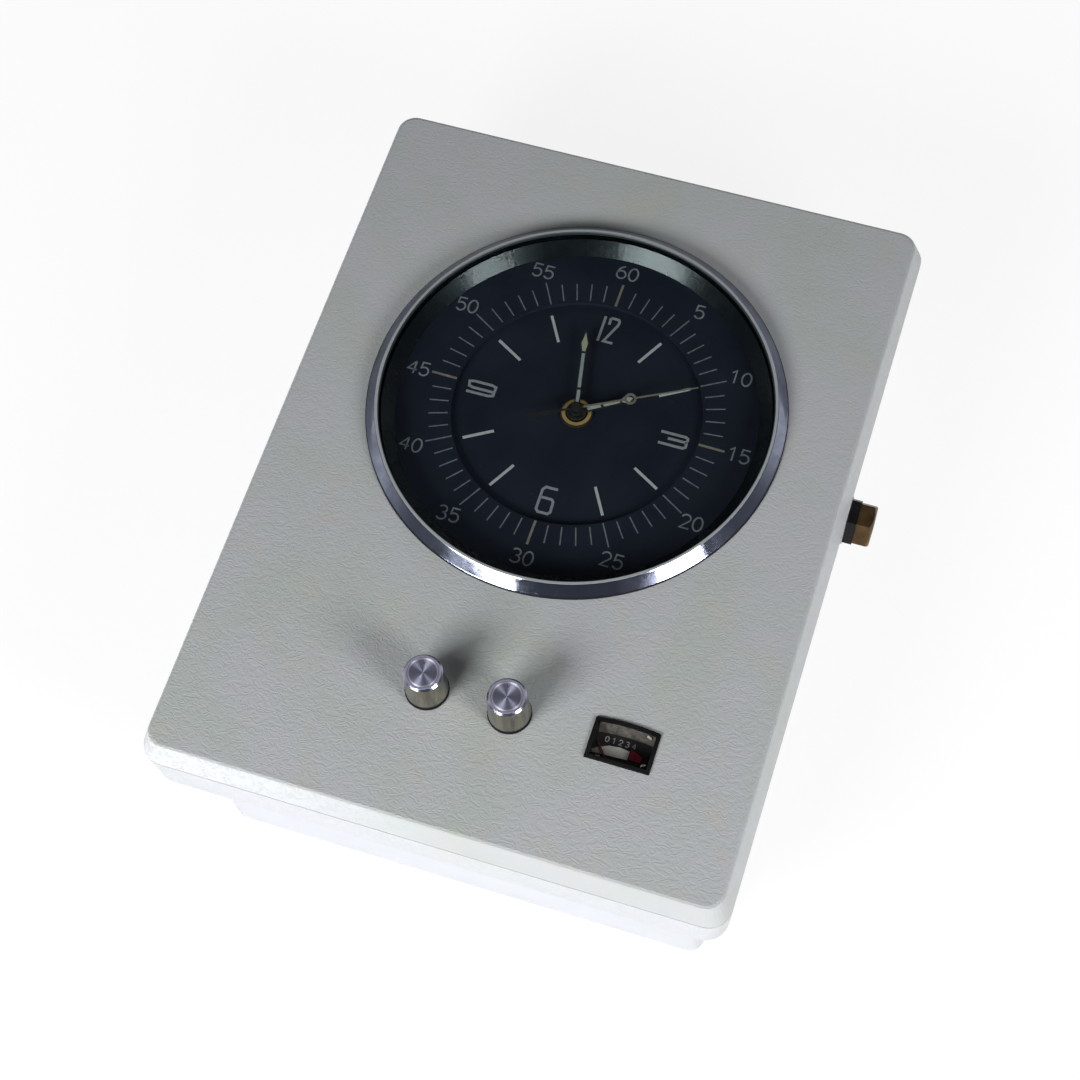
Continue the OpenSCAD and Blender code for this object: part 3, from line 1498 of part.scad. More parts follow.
front_cover();
case_gasket();
rear_case();
rear_box();
back_plate();
back_plate_screws();
cover_screws();
box_screws();
bezel_ring();
bezel_gasket();
crystal();
spacer_ring();
dial_plate();
chapter_ring();
hour_markers();
dial_bush();
dial_nut();
mount_plate();
mount_plate_screws();
movement_front_plate();
movement_back_plate();
movement_spacers();
movement_screws();
motor_coil();
motor_stator();
motor_rotor();
intermediate_wheel();
seconds_wheel();
third_wheel();
centre_wheel();
cannon_pinion();
minute_wheel();
hour_wheel();
hour_hand();
hour_hand_lume();
minute_hand();
minute_hand_lume();
seconds_hand();
knob(-1);  // left_knob
knob_cap(-1, 12);  // left_knob_cap
control_shaft(-1);  // left_control_shaft
control_body(-1);  // left_control_body
knob(1);  // right_knob
knob_cap(1, 12);  // right_knob_cap
control_shaft(1);  // right_control_shaft
control_body(1);  // right_control_body
control_nuts();
knob_washers();
meter_case();
meter_window();
meter_scale();
meter_magnet();
meter_pointer();
gland_body();
gland_seal();
gland_cap_nut();
gland_lock_nut();
circuit_board();
board_components();
terminal_block();
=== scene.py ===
"""Looks for the marine clock: camera, studio, a material for every solid, and the printed marks."""

import math

import bpy
from mathutils import Matrix, Vector


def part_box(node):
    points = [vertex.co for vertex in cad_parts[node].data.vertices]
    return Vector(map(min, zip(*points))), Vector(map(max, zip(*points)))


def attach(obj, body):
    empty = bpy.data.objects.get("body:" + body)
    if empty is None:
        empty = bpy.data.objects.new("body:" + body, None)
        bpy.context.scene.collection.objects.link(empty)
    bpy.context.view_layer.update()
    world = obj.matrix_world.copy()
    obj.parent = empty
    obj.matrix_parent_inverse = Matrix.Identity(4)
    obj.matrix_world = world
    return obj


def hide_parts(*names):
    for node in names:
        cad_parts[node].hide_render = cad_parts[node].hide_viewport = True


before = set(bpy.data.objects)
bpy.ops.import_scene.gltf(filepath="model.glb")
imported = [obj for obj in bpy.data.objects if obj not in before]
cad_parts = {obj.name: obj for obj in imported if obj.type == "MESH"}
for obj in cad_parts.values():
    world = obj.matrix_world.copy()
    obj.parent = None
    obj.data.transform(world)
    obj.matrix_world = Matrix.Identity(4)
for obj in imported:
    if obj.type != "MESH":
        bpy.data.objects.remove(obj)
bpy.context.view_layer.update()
MM = 0.001


# Small measures taken from the solids

def middle(node):
    """Middle of a solid's box."""
    low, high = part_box(node)
    return (low + high) / 2


def top_of(node):
    """Height of a solid's highest point."""
    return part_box(node)[1].z


DIAL_CENTRE = middle("dial_plate")
METER_CENTRE = middle("meter_window")

# Where the seconds hand stands at rest, in degrees clockwise from twelve
SECONDS_ANGLE = 63


# Node materials

def rgb(red, green, blue):
    """A colour written as on a screen, 0 to 255, as the linear colour that nodes use."""
    linear = []
    for level in (red, green, blue):
        share = level / 255
        linear.append(share / 12.92 if share <= 0.04045 else ((share + 0.055) / 1.055) ** 2.4)
    return (*linear, 1.0)


class Finish:
    """A Principled material in the making, with short ways to add the nodes used here."""

    def __init__(self, name, metallic=0.0, roughness=0.5, specular=0.5):
        self.material = bpy.data.materials.new(name)
        self.material.use_nodes = True
        self.tree = self.material.node_tree
        self.shader = self.tree.nodes["Principled BSDF"]
        self.output = self.tree.nodes["Material Output"]
        self.set("Metallic", metallic)
        self.set("Roughness", roughness)
        self.set("Specular IOR Level", specular)
        self.place = self.add("ShaderNodeTexCoord").outputs["Object"]

    def add(self, kind, **inputs):
        """A new node with these inputs, each a number or another node's output."""
        node = self.tree.nodes.new(kind)
        for name, value in inputs.items():
            self.feed(node.inputs[name.replace("_", " ")], value)
        return node

    def feed(self, socket, value):
        """Link another node's output to the socket, or set its value."""
        if isinstance(value, bpy.types.NodeSocket):
            self.tree.links.new(value, socket)
        else:
            socket.default_value = value

    def set(self, name, value):
        """Feed an input of the Principled shader."""
        self.feed(self.shader.inputs[name], value)

    def moved(self, centre=(0, 0, 0), stretch=(1, 1, 1), turn=0.0):
        """The place on the object, measured from centre, turned about z, then multiplied by stretch.

        A stretch below 1 draws a texture out along that axis.
        """
        node = self.add("ShaderNodeMapping", Vector=self.place)
        node.vector_type = "TEXTURE"
        node.inputs["Location"].default_value = centre
        node.inputs["Scale"].default_value = [1 / s for s in stretch]
        node.inputs["Rotation"].default_value = (0, 0, turn)
        return node.outputs["Vector"]

    def noise(self, size_mm, detail=3.0, rough=0.5, twist=0.0, place=None):
        """Noise whose features are about size_mm across."""
        node = self.add("ShaderNodeTexNoise", Vector=place or self.place, Scale=1 / (size_mm * MM),
                        Detail=detail, Roughness=rough, Distortion=twist)
        return node.outputs["Factor" if "Factor" in node.outputs else "Fac"]

    def spots(self, size_mm):
        """Distance from the nearest of many scattered points."""
        node = self.add("ShaderNodeTexVoronoi", Vector=self.place, Scale=1 / (size_mm * MM))
        return node.outputs["Distance"]

    def remap(self, value, low, high, to_low=0.0, to_high=1.0):
        """Value moved from the range low to high into the range to_low to to_high, and kept inside it."""
        node = self.add("ShaderNodeMapRange", Value=value)
        for name, number in (("From Min", low), ("From Max", high), ("To Min", to_low), ("To Max", to_high)):
            node.inputs[name].default_value = number
        return node.outputs["Result"]

    def math(self, kind, a, b=0.0, c=None):
        """Sum, product or another operation on two or three values."""
        node = self.add("ShaderNodeMath")
        node.operation = kind
        self.feed(node.inputs[0], a)
        self.feed(node.inputs[1], b)
        if c is not None:
            self.feed(node.inputs[2], c)
        return node.outputs[0]

    def axis(self, place, name):
        """One of the three coordinates of a place."""
        return self.add("ShaderNodeSeparateXYZ", Vector=place).outputs[name]

    def distance(self, place):
        """Distance from the z axis through place's origin."""
        parts = self.add("ShaderNodeSeparateXYZ", Vector=place)
        flat = self.add("ShaderNodeCombineXYZ", X=parts.outputs["X"], Y=parts.outputs["Y"])
        node = self.add("ShaderNodeVectorMath")
        node.operation = "LENGTH"
        self.feed(node.inputs[0], flat.outputs["Vector"])
        return node.outputs["Value"]

    def blend(self, share, a, b):
        """Colour a where share is 0 and b where it is 1."""
        node = self.add("ShaderNodeMix")
        node.data_type = "RGBA"
        self.feed(node.inputs["Factor"], share)
        colours = [s for s in node.inputs if s.type == "RGBA"]
        self.feed(colours[0], a)
        self.feed(colours[1], b)
        return [s for s in node.outputs if s.type == "RGBA"][0]

    def mix_shaders(self, share, a, b):
        """Give the material shader a where share is 0 and shader b where it is 1."""
        mixed = self.add("ShaderNodeMixShader")
        self.feed(mixed.inputs[0], share)
        self.feed(mixed.inputs[1], a)
        self.feed(mixed.inputs[2], b)
        self.feed(self.output.inputs["Surface"], mixed.outputs["Shader"])

    def relief(self, height, depth_mm, strength=1.0):
        """Bump from height, depth_mm deep, on top of any relief made before."""
        node = self.add("ShaderNodeBump", Height=height, Distance=depth_mm * MM, Strength=strength)
        normal = self.shader.inputs["Normal"]
        if normal.links:
            self.feed(node.inputs["Normal"], normal.links[0].from_socket)
        self.feed(normal, node.outputs["Normal"])


def plain_finish(name, light, dark, metallic=0.0, roughness=(0.4, 0.6), specular=0.5,
                 patch=30.0, grain=0.6, depth=0.02, stretch=(1, 1, 1)):
    """Colour that drifts between two tones in patches, uneven gloss and a fine grain. Sizes in mm."""
    finish = Finish(name, metallic, 0.5, specular)
    place = finish.moved(stretch=stretch)
    drift = finish.noise(patch, 4.0, 0.6)
    fine = finish.noise(grain, 3.0, 0.6, place=place)
    tone = finish.math("MULTIPLY_ADD", fine, 0.35, -0.17)
    share = finish.math("ADD", finish.remap(drift, 0.3, 0.7), tone)
    finish.set("Base Color", finish.blend(share, dark, light))
    finish.set("Roughness", finish.remap(drift, 0.3, 0.7, *roughness))
    finish.relief(fine, depth)
    return finish


def plain_paint(name, light, dark, **kinds):
    """The material of a plain finish, with its two tones on the scale 0 to 255."""
    return plain_finish(name, rgb(*light), rgb(*dark), **kinds).material


def stained_enamel(finish, cool, green, warm):
    """Grey enamel under faint stains and a few dark specks."""
    stain = finish.noise(38.0, 3.0, 0.55)
    shade = finish.noise(14.0, 3.0, 0.6)
    speck = finish.noise(0.5, 2.0, 0.5)
    colour = finish.blend(finish.remap(stain, 0.42, 0.62), cool, green)
    colour = finish.blend(finish.remap(shade, 0.56, 0.78, 0.0, 0.75), colour, warm)
    return finish.blend(finish.remap(speck, 0.66, 0.85, 0.0, 0.3), colour, rgb(118, 120, 118))


def wrinkles(finish):
    """Short wavy ridges of baked wrinkle enamel, 1 on their crests."""
    ridge_size = 3.6
    swell = finish.noise(ridge_size, 1.5, 0.4, 1.4, place=finish.moved(stretch=(1.0, 1.5, 1.2)))
    ridges = finish.remap(finish.math("ABSOLUTE", finish.math("SUBTRACT", swell, 0.5)), 0.0, 0.17, 1.0, 0.0)
    ridges.node.interpolation_type = "SMOOTHSTEP"
    return ridges


def cover_paint():
    """Front cover: deeper wrinkles towards the face's lower end; walls painted paler as painted light, crests
    on the left walls as painted glints.
    """
    finish = Finish("wrinkle_enamel_grey", 0.0, 0.4, 0.4)
    ridges = wrinkles(finish)
    face_z = top_of("front_cover")
    face = finish.remap(finish.axis(finish.place, "Z"), face_z - 0.4 * MM, face_z - 0.1 * MM)
    left = finish.remap(finish.axis(finish.place, "X"), -100 * MM, 10 * MM, 1.0, 0.0)
    wall = finish.math("SUBTRACT", 1.0, face)
    # Left walls: the zone where glints are painted on the crests and the wrinkles run deeper.
    painted_light_zone = finish.math("MULTIPLY", wall, left)
    colour = stained_enamel(finish, rgb(157, 159, 161), rgb(153, 158, 155), rgb(159, 157, 152))
    # Painted light: every wall is painted a little paler than the face, as if lit more.
    colour = finish.blend(finish.math("MULTIPLY", wall, 0.12), colour, rgb(176, 178, 180))
    # Painted glints: the wrinkle crests on the left walls are painted pale, as highlights.
    painted_glints = finish.math("MULTIPLY", painted_light_zone, finish.remap(ridges, 0.25, 0.6, 0.35, 1.0))
    finish.set("Base Color", finish.blend(painted_glints, colour, rgb(182, 185, 189)))
    face_strength = finish.remap(finish.axis(finish.place, "Y"), 60 * MM, -110 * MM, 0.27, 0.47)
    wall_strength = 0.68
    ridge_depth = 0.15
    on_face = finish.math("MULTIPLY", face, face_strength)
    on_walls = finish.math("MULTIPLY", painted_light_zone, wall_strength)
    finish.relief(ridges, ridge_depth, finish.math("ADD", on_face, on_walls))
    finish.relief(finish.noise(0.45, 2.0, 0.5), 0.012)
    finish.set("Roughness", finish.remap(ridges, 0.0, 1.0, 0.36, 0.48))
    return finish.material


def case_paint():
    """Rear case: the same enamel, paler and almost smooth."""
    finish = Finish("wrinkle_enamel_light", 0.0, 0.4, 0.4)
    ridges = wrinkles(finish)
    colour = stained_enamel(finish, rgb(171, 173, 178), rgb(169, 172, 174), rgb(171, 170, 168))
    finish.set("Base Color", colour)
    finish.relief(ridges, 0.02)
    finish.relief(finish.noise(0.45, 2.0, 0.5), 0.01)
    finish.set("Roughness", finish.remap(ridges, 0.0, 1.0, 0.36, 0.48))
    return finish.material


def box_sheet():
    """Rear box: pale painted sheet with faint scratches along it."""
    finish = plain_finish("painted_sheet", rgb(177, 179, 184), rgb(169, 171, 176), roughness=(0.35, 0.5),
                          patch=45.0, grain=0.9, depth=0.012)
    scratch = finish.noise(0.5, 2.0, 0.5, place=finish.moved(stretch=(0.04, 1, 1)))
    finish.relief(scratch, 0.01)
    return finish.material


def chrome():
    """Old polished chrome with hazy patches, a top rim painted dull pale grey as a painted reflection of a
    light line, and a dark inner edge.
    """
    finish = Finish("polished_chrome", 1.0, 0.12)
    haze = finish.noise(9.0, 4.0, 0.6)
    pits = finish.spots(1.6)
    reach = finish.distance(finish.moved((DIAL_CENTRE.x, DIAL_CENTRE.y, 0)))
    rim_z = top_of("bezel_ring")
    inner_edge = 71.0 * MM
    # Painted reflection: the top rim is made dull, pale grey and less metallic, standing in for a reflected
    # light line.
    painted_light_zone = finish.remap(finish.axis(finish.place, "Z"), rim_z - 0.12 * MM, rim_z - 0.04 * MM)
    inside = finish.remap(reach, inner_edge, inner_edge + 0.06 * MM, 1.0, 0.0)
    colour = finish.blend(finish.remap(haze, 0.4, 0.7), rgb(130, 136, 153), rgb(110, 114, 132))
    colour = finish.blend(finish.remap(pits, 0.06, 0.02, 0.0, 0.6), colour, rgb(80, 72, 66))
    # Painted reflection on the top rim.
    colour = finish.blend(painted_light_zone, colour, rgb(158, 163, 165))
    finish.set("Base Color", finish.blend(inside, colour, rgb(40, 46, 50)))
    finish.set("Metallic", finish.remap(finish.math("MAXIMUM", painted_light_zone, inside), 0.0, 1.0, 1.0, 0.3))
    gloss = finish.remap(haze, 0.35, 0.75, 0.07, 0.2)
    finish.set("Roughness", finish.math("MAXIMUM", gloss, finish.math("MULTIPLY", inside, 0.45)))
    finish.relief(finish.noise(5.0, 3.0, 0.6), 0.02)
    return finish.material


def dial_enamel():
    """Blue-black enamel with dust specks."""
    finish = Finish("dial_enamel", 0.0, 0.5, 0.12)
    drift = finish.noise(24.0, 3.0, 0.5)
    dust = finish.noise(0.7, 2.0, 0.5)
    colour = finish.blend(finish.remap(drift, 0.35, 0.65), rgb(17, 22, 31), rgb(21, 27, 36))
    finish.set("Base Color", finish.blend(finish.remap(dust, 0.7, 0.84, 0.0, 0.3), colour, rgb(96, 104, 108)))
    finish.set("Roughness", finish.remap(drift, 0.3, 0.7, 0.42, 0.56))
    finish.relief(finish.noise(0.4, 2.0, 0.5), 0.008)
    return finish.material


def funnel_enamel(name):
    """Black glossy enamel with a teal sheen, for the walls round the dial."""
    finish = plain_finish(name, rgb(9, 13, 15), rgb(5, 8, 10), roughness=(0.2, 0.32), specular=0.2,
                          patch=14.0, grain=0.9, depth=0.004)
    finish.set("Specular Tint", rgb(192, 214, 218))
    finish.set("Coat Weight", 0.1)
    finish.set("Coat Roughness", 0.15)
    return finish.material


def lume_paint():
    """Aged luminous paint: pale grey bars, and darker numbers at 12, 3, 6 and 9."""
    finish = Finish("lume_paint", 0.0, 0.68, 0.3)
    place = finish.moved((DIAL_CENTRE.x, DIAL_CENTRE.y, 0))
    off_x = finish.math("ABSOLUTE", finish.axis(place, "X"))
    off_y = finish.math("ABSOLUTE", finish.axis(place, "Y"))
    numbers_half = 7.0 * MM
    off_axis = finish.math("MINIMUM", off_x, off_y)
    number = finish.remap(off_axis, numbers_half, numbers_half + 0.2 * MM, 1.0, 0.0)
    drift = finish.noise(1.2, 3.0, 0.6)
    bars = finish.blend(drift, rgb(118, 124, 126), rgb(144, 149, 150))
    numbers = finish.blend(drift, rgb(90, 95, 98), rgb(110, 115, 118))
    finish.set("Base Color", finish.blend(number, bars, numbers))
    finish.relief(finish.noise(0.35, 3.0, 0.6), 0.02)
    return finish.material


def hand_lume(name, light, dark, head):
    """Grey-green fill of a hand, more olive from the radius head outwards, where a spear head starts."""
    finish = Finish(name, 0.0, 0.65, 0.3)
    reach = finish.distance(finish.moved((DIAL_CENTRE.x, DIAL_CENTRE.y, 0)))
    drift = finish.noise(2.0, 3.0, 0.6)
    fill = finish.blend(drift, rgb(*dark), rgb(*light))
    spear = finish.remap(reach, head, head + 0.2 * MM)
    finish.set("Base Color", finish.blend(spear, fill, rgb(118, 124, 102)))
    finish.relief(finish.noise(0.35, 2.0, 0.5), 0.02)
    return finish.material


def needle_paint():
    """Seconds hand: dull gilding on its blade, and a blackened hub and tail."""
    finish = Finish("needle_gilding", 0.0, 0.5, 0.3)
    turn = math.radians(SECONDS_ANGLE)
    along = finish.axis(finish.moved((DIAL_CENTRE.x, DIAL_CENTRE.y, 0), turn=-turn), "Y")
    drift = finish.noise(4.0, 3.0, 0.5)
    gilding = finish.blend(drift, rgb(86, 86, 76), rgb(112, 111, 98))
    blade = finish.remap(along, 2.2 * MM, 3.2 * MM)
    finish.set("Base Color", finish.blend(blade, rgb(20, 20, 18), gilding))
    finish.set("Metallic", finish.math("MULTIPLY", blade, 0.4))
    finish.relief(finish.noise(0.4, 2.0, 0.5), 0.01)
    return finish.material


def nut_brass():
    """Gilt nut at the dial's centre: a bright ring between two dull edges."""
    finish = Finish("gilt_nut", 0.6, 0.42)
    reach = finish.distance(finish.moved((DIAL_CENTRE.x, DIAL_CENTRE.y, 0)))
    bright_from = 4.0 * MM
    bright_to = 5.2 * MM
    drift = finish.noise(2.5, 3.0, 0.6)
    gilt = finish.blend(drift, rgb(162, 142, 84), rgb(180, 158, 104))
    dull = rgb(62, 48, 32)
    inside = finish.blend(finish.remap(reach, bright_from, bright_from + 0.2 * MM), dull, gilt)
    outside = finish.remap(reach, bright_to, bright_to + 0.3 * MM)
    finish.set("Base Color", finish.blend(outside, inside, dull))
    finish.relief(finish.noise(0.4, 2.0, 0.5), 0.012)
    return finish.material


def brass(name, light, dark, roughness, metallic=1.0):
    """Turned brass or bronze with tarnished patches."""
    return plain_paint(name, light, dark, metallic=metallic, roughness=roughness,
                       patch=6.0, grain=0.35, depth=0.012)


def knob_metal():
    """Polished turned aluminium: warm sides with vertical streaks painted as reflections, a bluish top edge
    and a blackened foot.
    """
    finish = Finish("turned_aluminium", 1.0, 0.15)
    # Drawn out up the sides: dark and light streaks that are painted reflections.
    drift = finish.noise(3.0, 3.0, 0.6, place=finish.moved(stretch=(1, 1, 0.2)))
    lines = finish.noise(0.5, 2.0, 0.6, place=finish.moved(stretch=(0.05, 0.05, 1)))
    height = finish.axis(finish.place, "Z")
    low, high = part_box("left_knob")
    edge = finish.remap(height, high.z - 0.75 * MM, high.z - 0.6 * MM)
    foot = finish.remap(height, low.z + 1.0 * MM, low.z + 1.05 * MM, 1.0, 0.0)
    flat_top = finish.remap(height, high.z - 0.06 * MM, high.z - 0.02 * MM)
    # Painted reflections: the sides' colour follows the vertical streaks.
    sides = finish.blend(finish.remap(drift, 0.35, 0.65), rgb(166, 160, 142), rgb(118, 115, 106))
    colour = finish.blend(edge, sides, rgb(152, 152, 174))
    colour = finish.blend(flat_top, colour, rgb(146, 147, 168))
    finish.set("Base Color", finish.blend(foot, colour, rgb(10, 10, 10)))
    dulled = finish.math("MAXIMUM", foot, finish.math("MULTIPLY", flat_top, 0.6))
    finish.set("Metallic", finish.math("SUBTRACT", 1.0, dulled))
    polish = finish.remap(lines, 0.3, 0.7, 0.12, 0.22)
    finish.set("Roughness", finish.math("MAXIMUM", polish, finish.math("MULTIPLY", dulled, 0.6)))
    finish.relief(lines, 0.008)
    return finish.material


def knob_cap(name, node):
    """Spun disc: fine rings round the knob's own axis, a violet cast and a painted highlight ring near its
    edge.
    """
    finish = Finish(name, 0.85, 0.5)
    finish.set("Anisotropic", 0.9)
    finish.set("Anisotropic Rotation", 0.25)
    around = finish.add("ShaderNodeTangent")
    around.direction_type = "RADIAL"
    around.axis = "Z"
    finish.set("Tangent", around.outputs["Tangent"])
    centre = middle(node)
    reach = finish.distance(finish.moved((centre.x, centre.y, 0)))
    drift = finish.noise(1.2, 2.0, 0.5)
    metal = finish.blend(drift, rgb(158, 158, 178), rgb(136, 137, 160))
    # Painted highlight: a bright ring near the disc's edge.
    painted_highlight_from = 4.65 * MM
    painted_highlight_to = 5.2 * MM
    painted_highlight_ring = finish.math("SUBTRACT", finish.remap(reach, painted_highlight_from, painted_highlight_from + 0.1 * MM),
                         finish.remap(reach, painted_highlight_to, painted_highlight_to + 0.1 * MM))
    finish.set("Base Color", finish.blend(painted_highlight_ring, metal, rgb(222, 222, 230)))
    rings_per_metre = 5200.0
    rings = finish.add("ShaderNodeTexNoise", Detail=2.0)
    rings.noise_dimensions = "1D"
    rings.inputs["Scale"].default_value = rings_per_metre
    finish.feed(rings.inputs["W"], reach)
    finish.relief(rings.outputs[0], 0.01)
    finish.set("Roughness", finish.remap(rings.outputs[0], 0.3, 0.7, 0.44, 0.56))
    return finish.material


def clear_sheet(name, tint, roughness):
    """Thin clear sheet: light goes straight through and a little is mirrored, more at a slant."""
    finish = Finish(name, 1.0, roughness)
    smear = finish.noise(18.0, 3.0, 0.6)
    finish.set("Base Color", (1.0, 1.0, 1.0, 1.0))
    finish.set("Roughness", finish.remap(smear, 0.4, 0.8, roughness, roughness + 0.05))
    slant = finish.add("ShaderNodeLayerWeight", Blend=0.5)
    mirrored = finish.remap(finish.math("POWER", slant.outputs["Facing"], 5.0), 0.0, 1.0, 0.003, 0.08)
    through = finish.add("ShaderNodeBsdfTransparent", Color=tint)
    finish.mix_shaders(mirrored, through.outputs["BSDF"], finish.shader.outputs["BSDF"])
    return finish.material


def make_finishes():
    """One material for each of the record's slots."""
    return {
        "cover_paint": cover_paint(),
        "case_paint": case_paint(),
        "box_sheet": box_sheet(),
        "black_rubber": plain_paint("rubber", (34, 34, 35), (24, 24, 26), roughness=(0.6, 0.8),
                                    specular=0.4, patch=12.0, grain=0.5, depth=0.03),
        "zinc_screws": plain_paint("zinc_plating", (196, 194, 186), (158, 158, 156), metallic=1.0,
                                   roughness=(0.24, 0.4), patch=3.0, grain=0.5, depth=0.02),
        "bezel_chrome": chrome(),
        "clear_glass": clear_sheet("clock_glass", (0.98, 0.99, 0.99, 1.0), 0.06),
        "spacer_metal": funnel_enamel("spacer_enamel"),
        "dial_black": dial_enamel(),
        "lume": lume_paint(),
        "bush_bronze": brass("dark_bronze", (62, 38, 26), (38, 24, 18), (0.4, 0.55)),
        "brass": brass("movement_brass", (214, 178, 104), (180, 144, 78), (0.22, 0.38)),
        "aluminium_plate": plain_paint("sheet_aluminium", (202, 204, 206), (176, 178, 182), metallic=1.0,
                                       roughness=(0.3, 0.45), patch=20.0, grain=0.6, depth=0.012,
                                       stretch=(0.05, 1, 1)),
        "steel": plain_paint("turned_steel", (186, 188, 192), (150, 152, 156), metallic=1.0,
                             roughness=(0.2, 0.34), patch=5.0, grain=0.4, depth=0.01, stretch=(1, 1, 0.1)),
        "coil_copper": plain_paint("wound_copper", (196, 112, 66), (136, 66, 38), metallic=0.9,
                                   roughness=(0.3, 0.45), patch=3.0, grain=0.25, depth=0.08,
                                   stretch=(0.1, 1, 0.1)),
        "magnet_steel": plain_paint("magnet_steel", (128, 130, 134), (92, 94, 98), metallic=1.0,
                                    roughness=(0.35, 0.5), patch=6.0, grain=0.5, depth=0.02),
        "white_plastic": plain_paint("white_plastic", (226, 224, 214), (206, 204, 194), roughness=(0.35, 0.5),
                                     patch=14.0, grain=0.6, depth=0.01),
        "hand_paint": plain_paint("hand_enamel", (22, 27, 25), (12, 16, 15), roughness=(0.4, 0.55),
                                  specular=0.3, patch=3.0, grain=0.4, depth=0.01),
        "knob_metal": knob_metal(),
        "knob_cap_metal": knob_cap("spun_disc_left", "left_knob_cap"),
        "black_plastic": plain_paint("black_plastic", (16, 14, 15), (9, 8, 9), roughness=(0.35, 0.5),
                                     specular=0.35, patch=10.0, grain=0.6, depth=0.02),
        "control_plastic": plain_paint("control_plastic", (66, 62, 56), (48, 45, 42), roughness=(0.4, 0.55),
                                       patch=10.0, grain=0.6, depth=0.02),
        "clear_plastic": clear_sheet("meter_plastic", (0.97, 0.97, 0.95, 1.0), 0.02),
        "meter_card": plain_paint("meter_card", (34, 33, 38), (20, 19, 24), roughness=(0.5, 0.65),
                                  specular=0.4, patch=5.0, grain=0.4, depth=0.01),
        "pointer_red": plain_paint("pointer_paint", (120, 34, 42), (88, 22, 32), roughness=(0.35, 0.5),
                                   patch=3.0, grain=0.3, depth=0.01),
        "board_green": plain_paint("circuit_board", (38, 92, 58), (24, 66, 42), roughness=(0.3, 0.45),
                                   patch=8.0, grain=1.2, depth=0.03),
        "component_dark": plain_paint("moulded_parts", (52, 52, 56), (34, 34, 38), roughness=(0.35, 0.55),
                                      patch=9.0, grain=0.6, depth=0.02),
    }


def dress_solids(finishes):
    """Give each solid the material of its slot, and a few solids one of their own."""
    beyond_hour_hand = 30 * MM
    minute_spear_from = 23.8 * MM
    own = {
        "right_knob_cap": knob_cap("spun_disc_right", "right_knob_cap"),
        "seconds_hand": needle_paint(),
        "hour_hand_lume": hand_lume("hour_lume", (132, 139, 134), (106, 114, 109), beyond_hour_hand),
        "minute_hand_lume": hand_lume("minute_lume", (118, 126, 124), (94, 103, 100), minute_spear_from),
        "gland_cap_nut": brass("gland_brass", (104, 80, 46), (58, 44, 28), (0.35, 0.5), metallic=0.6),
        "dial_nut": nut_brass(),
    }
    for name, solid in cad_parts.items():
        for slot in solid.material_slots:
            slot_name = slot.material.name.split(".")[0]
            slot.material = own.get(name, finishes[slot_name])


# Printed marks, as thin raised ink

class Ink:
    """Flat shapes of ink gathered into one mesh."""

    def __init__(self, z, thickness=0.03 * MM):
        self.low = z
        self.high = z + thickness
        self.points = []
        self.faces = []

    def prism(self, outline):
        """A closed outline, in order, given some thickness."""
        start = len(self.points)
        count = len(outline)
        for height in (self.low, self.high):
            self.points.extend((x, y, height) for x, y in outline)
        self.faces.append([start + count + i for i in range(count)])
        self.faces.append([start + count - 1 - i for i in range(count)])
        for i in range(count):
            j = (i + 1) % count
            self.faces.append([start + i, start + j, start + count + j, start + count + i])

    def ribbon(self, path, width, closed=False):
        """A line of ink along path, square-cut, or closed into a ring."""
        left, right = offset_both_ways(path, width / 2, closed)
        count = len(path)
        start = len(self.points)
        for height in (self.low, self.high):
            self.points.extend((x, y, height) for x, y in left)
            self.points.extend((x, y, height) for x, y in right)
        spans = count if closed else count - 1
        top = start + 2 * count
        for i in range(spans):
            j = (i + 1) % count
            self.faces.append([top + i, top + j, top + count + j, top + count + i][::-1])
            self.faces.append([start + i, start + j, start + count + j, start + count + i])
            self.faces.append([start + i, start + j, top + j, top + i][::-1])
            self.faces.append([start + count + i, start + count + j, top + count + j, top + count + i])
        if not closed:
            for i, flip in ((0, False), (count - 1, True)):
                end = [start + i, start + count + i, top + count + i, top + i]
                self.faces.append(end[::-1] if flip else end)

    def piece(self, name, material, body, slot):
        """All the shapes so far as one piece."""
        return make_piece(name, self.points, self.faces, material, body)


def make_piece(name, points, faces, material, body):
    """Make an object of these points and faces, dress it and let it ride on its body."""
    mesh = bpy.data.meshes.new(name)
    mesh.from_pydata(points, [], faces)
    mesh.update()
    mesh.materials.append(material)
    piece = bpy.data.objects.new(name, mesh)
    bpy.context.scene.collection.objects.link(piece)
    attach(piece, body)
    return piece


def offset_both_ways(path, half, closed):
    """Points on both sides of a path, mitred at its corners."""
    count = len(path)
    left, right = [], []
    for i, (x, y) in enumerate(path):
        before = path[(i - 1) % count] if closed or i > 0 else None
        after = path[(i + 1) % count] if closed or i < count - 1 else None
        ways = []
        if before is not None:
            ways.append(Vector((x - before[0], y - before[1])).normalized())
        if after is not None:
            ways.append(Vector((after[0] - x, after[1] - y)).normalized())
        along = sum(ways, Vector((0, 0))).normalized()
        side = Vector((-along.y, along.x))
        reach = half / max(0.6, side.dot(Vector((-ways[0].y, ways[0].x))))
        left.append((x + side.x * reach, y + side.y * reach))
        right.append((x - side.x * reach, y - side.y * reach))
    return left, right


def arc(cx, cy, rx, ry, start, end, steps=14):
    """Points on part of an ellipse, angles in degrees."""
    points = []
    for i in range(steps + 1):
        angle = math.radians(start + (end - start) * i / steps)
        points.append((cx + rx * math.cos(angle), cy + ry * math.sin(angle)))
    return points


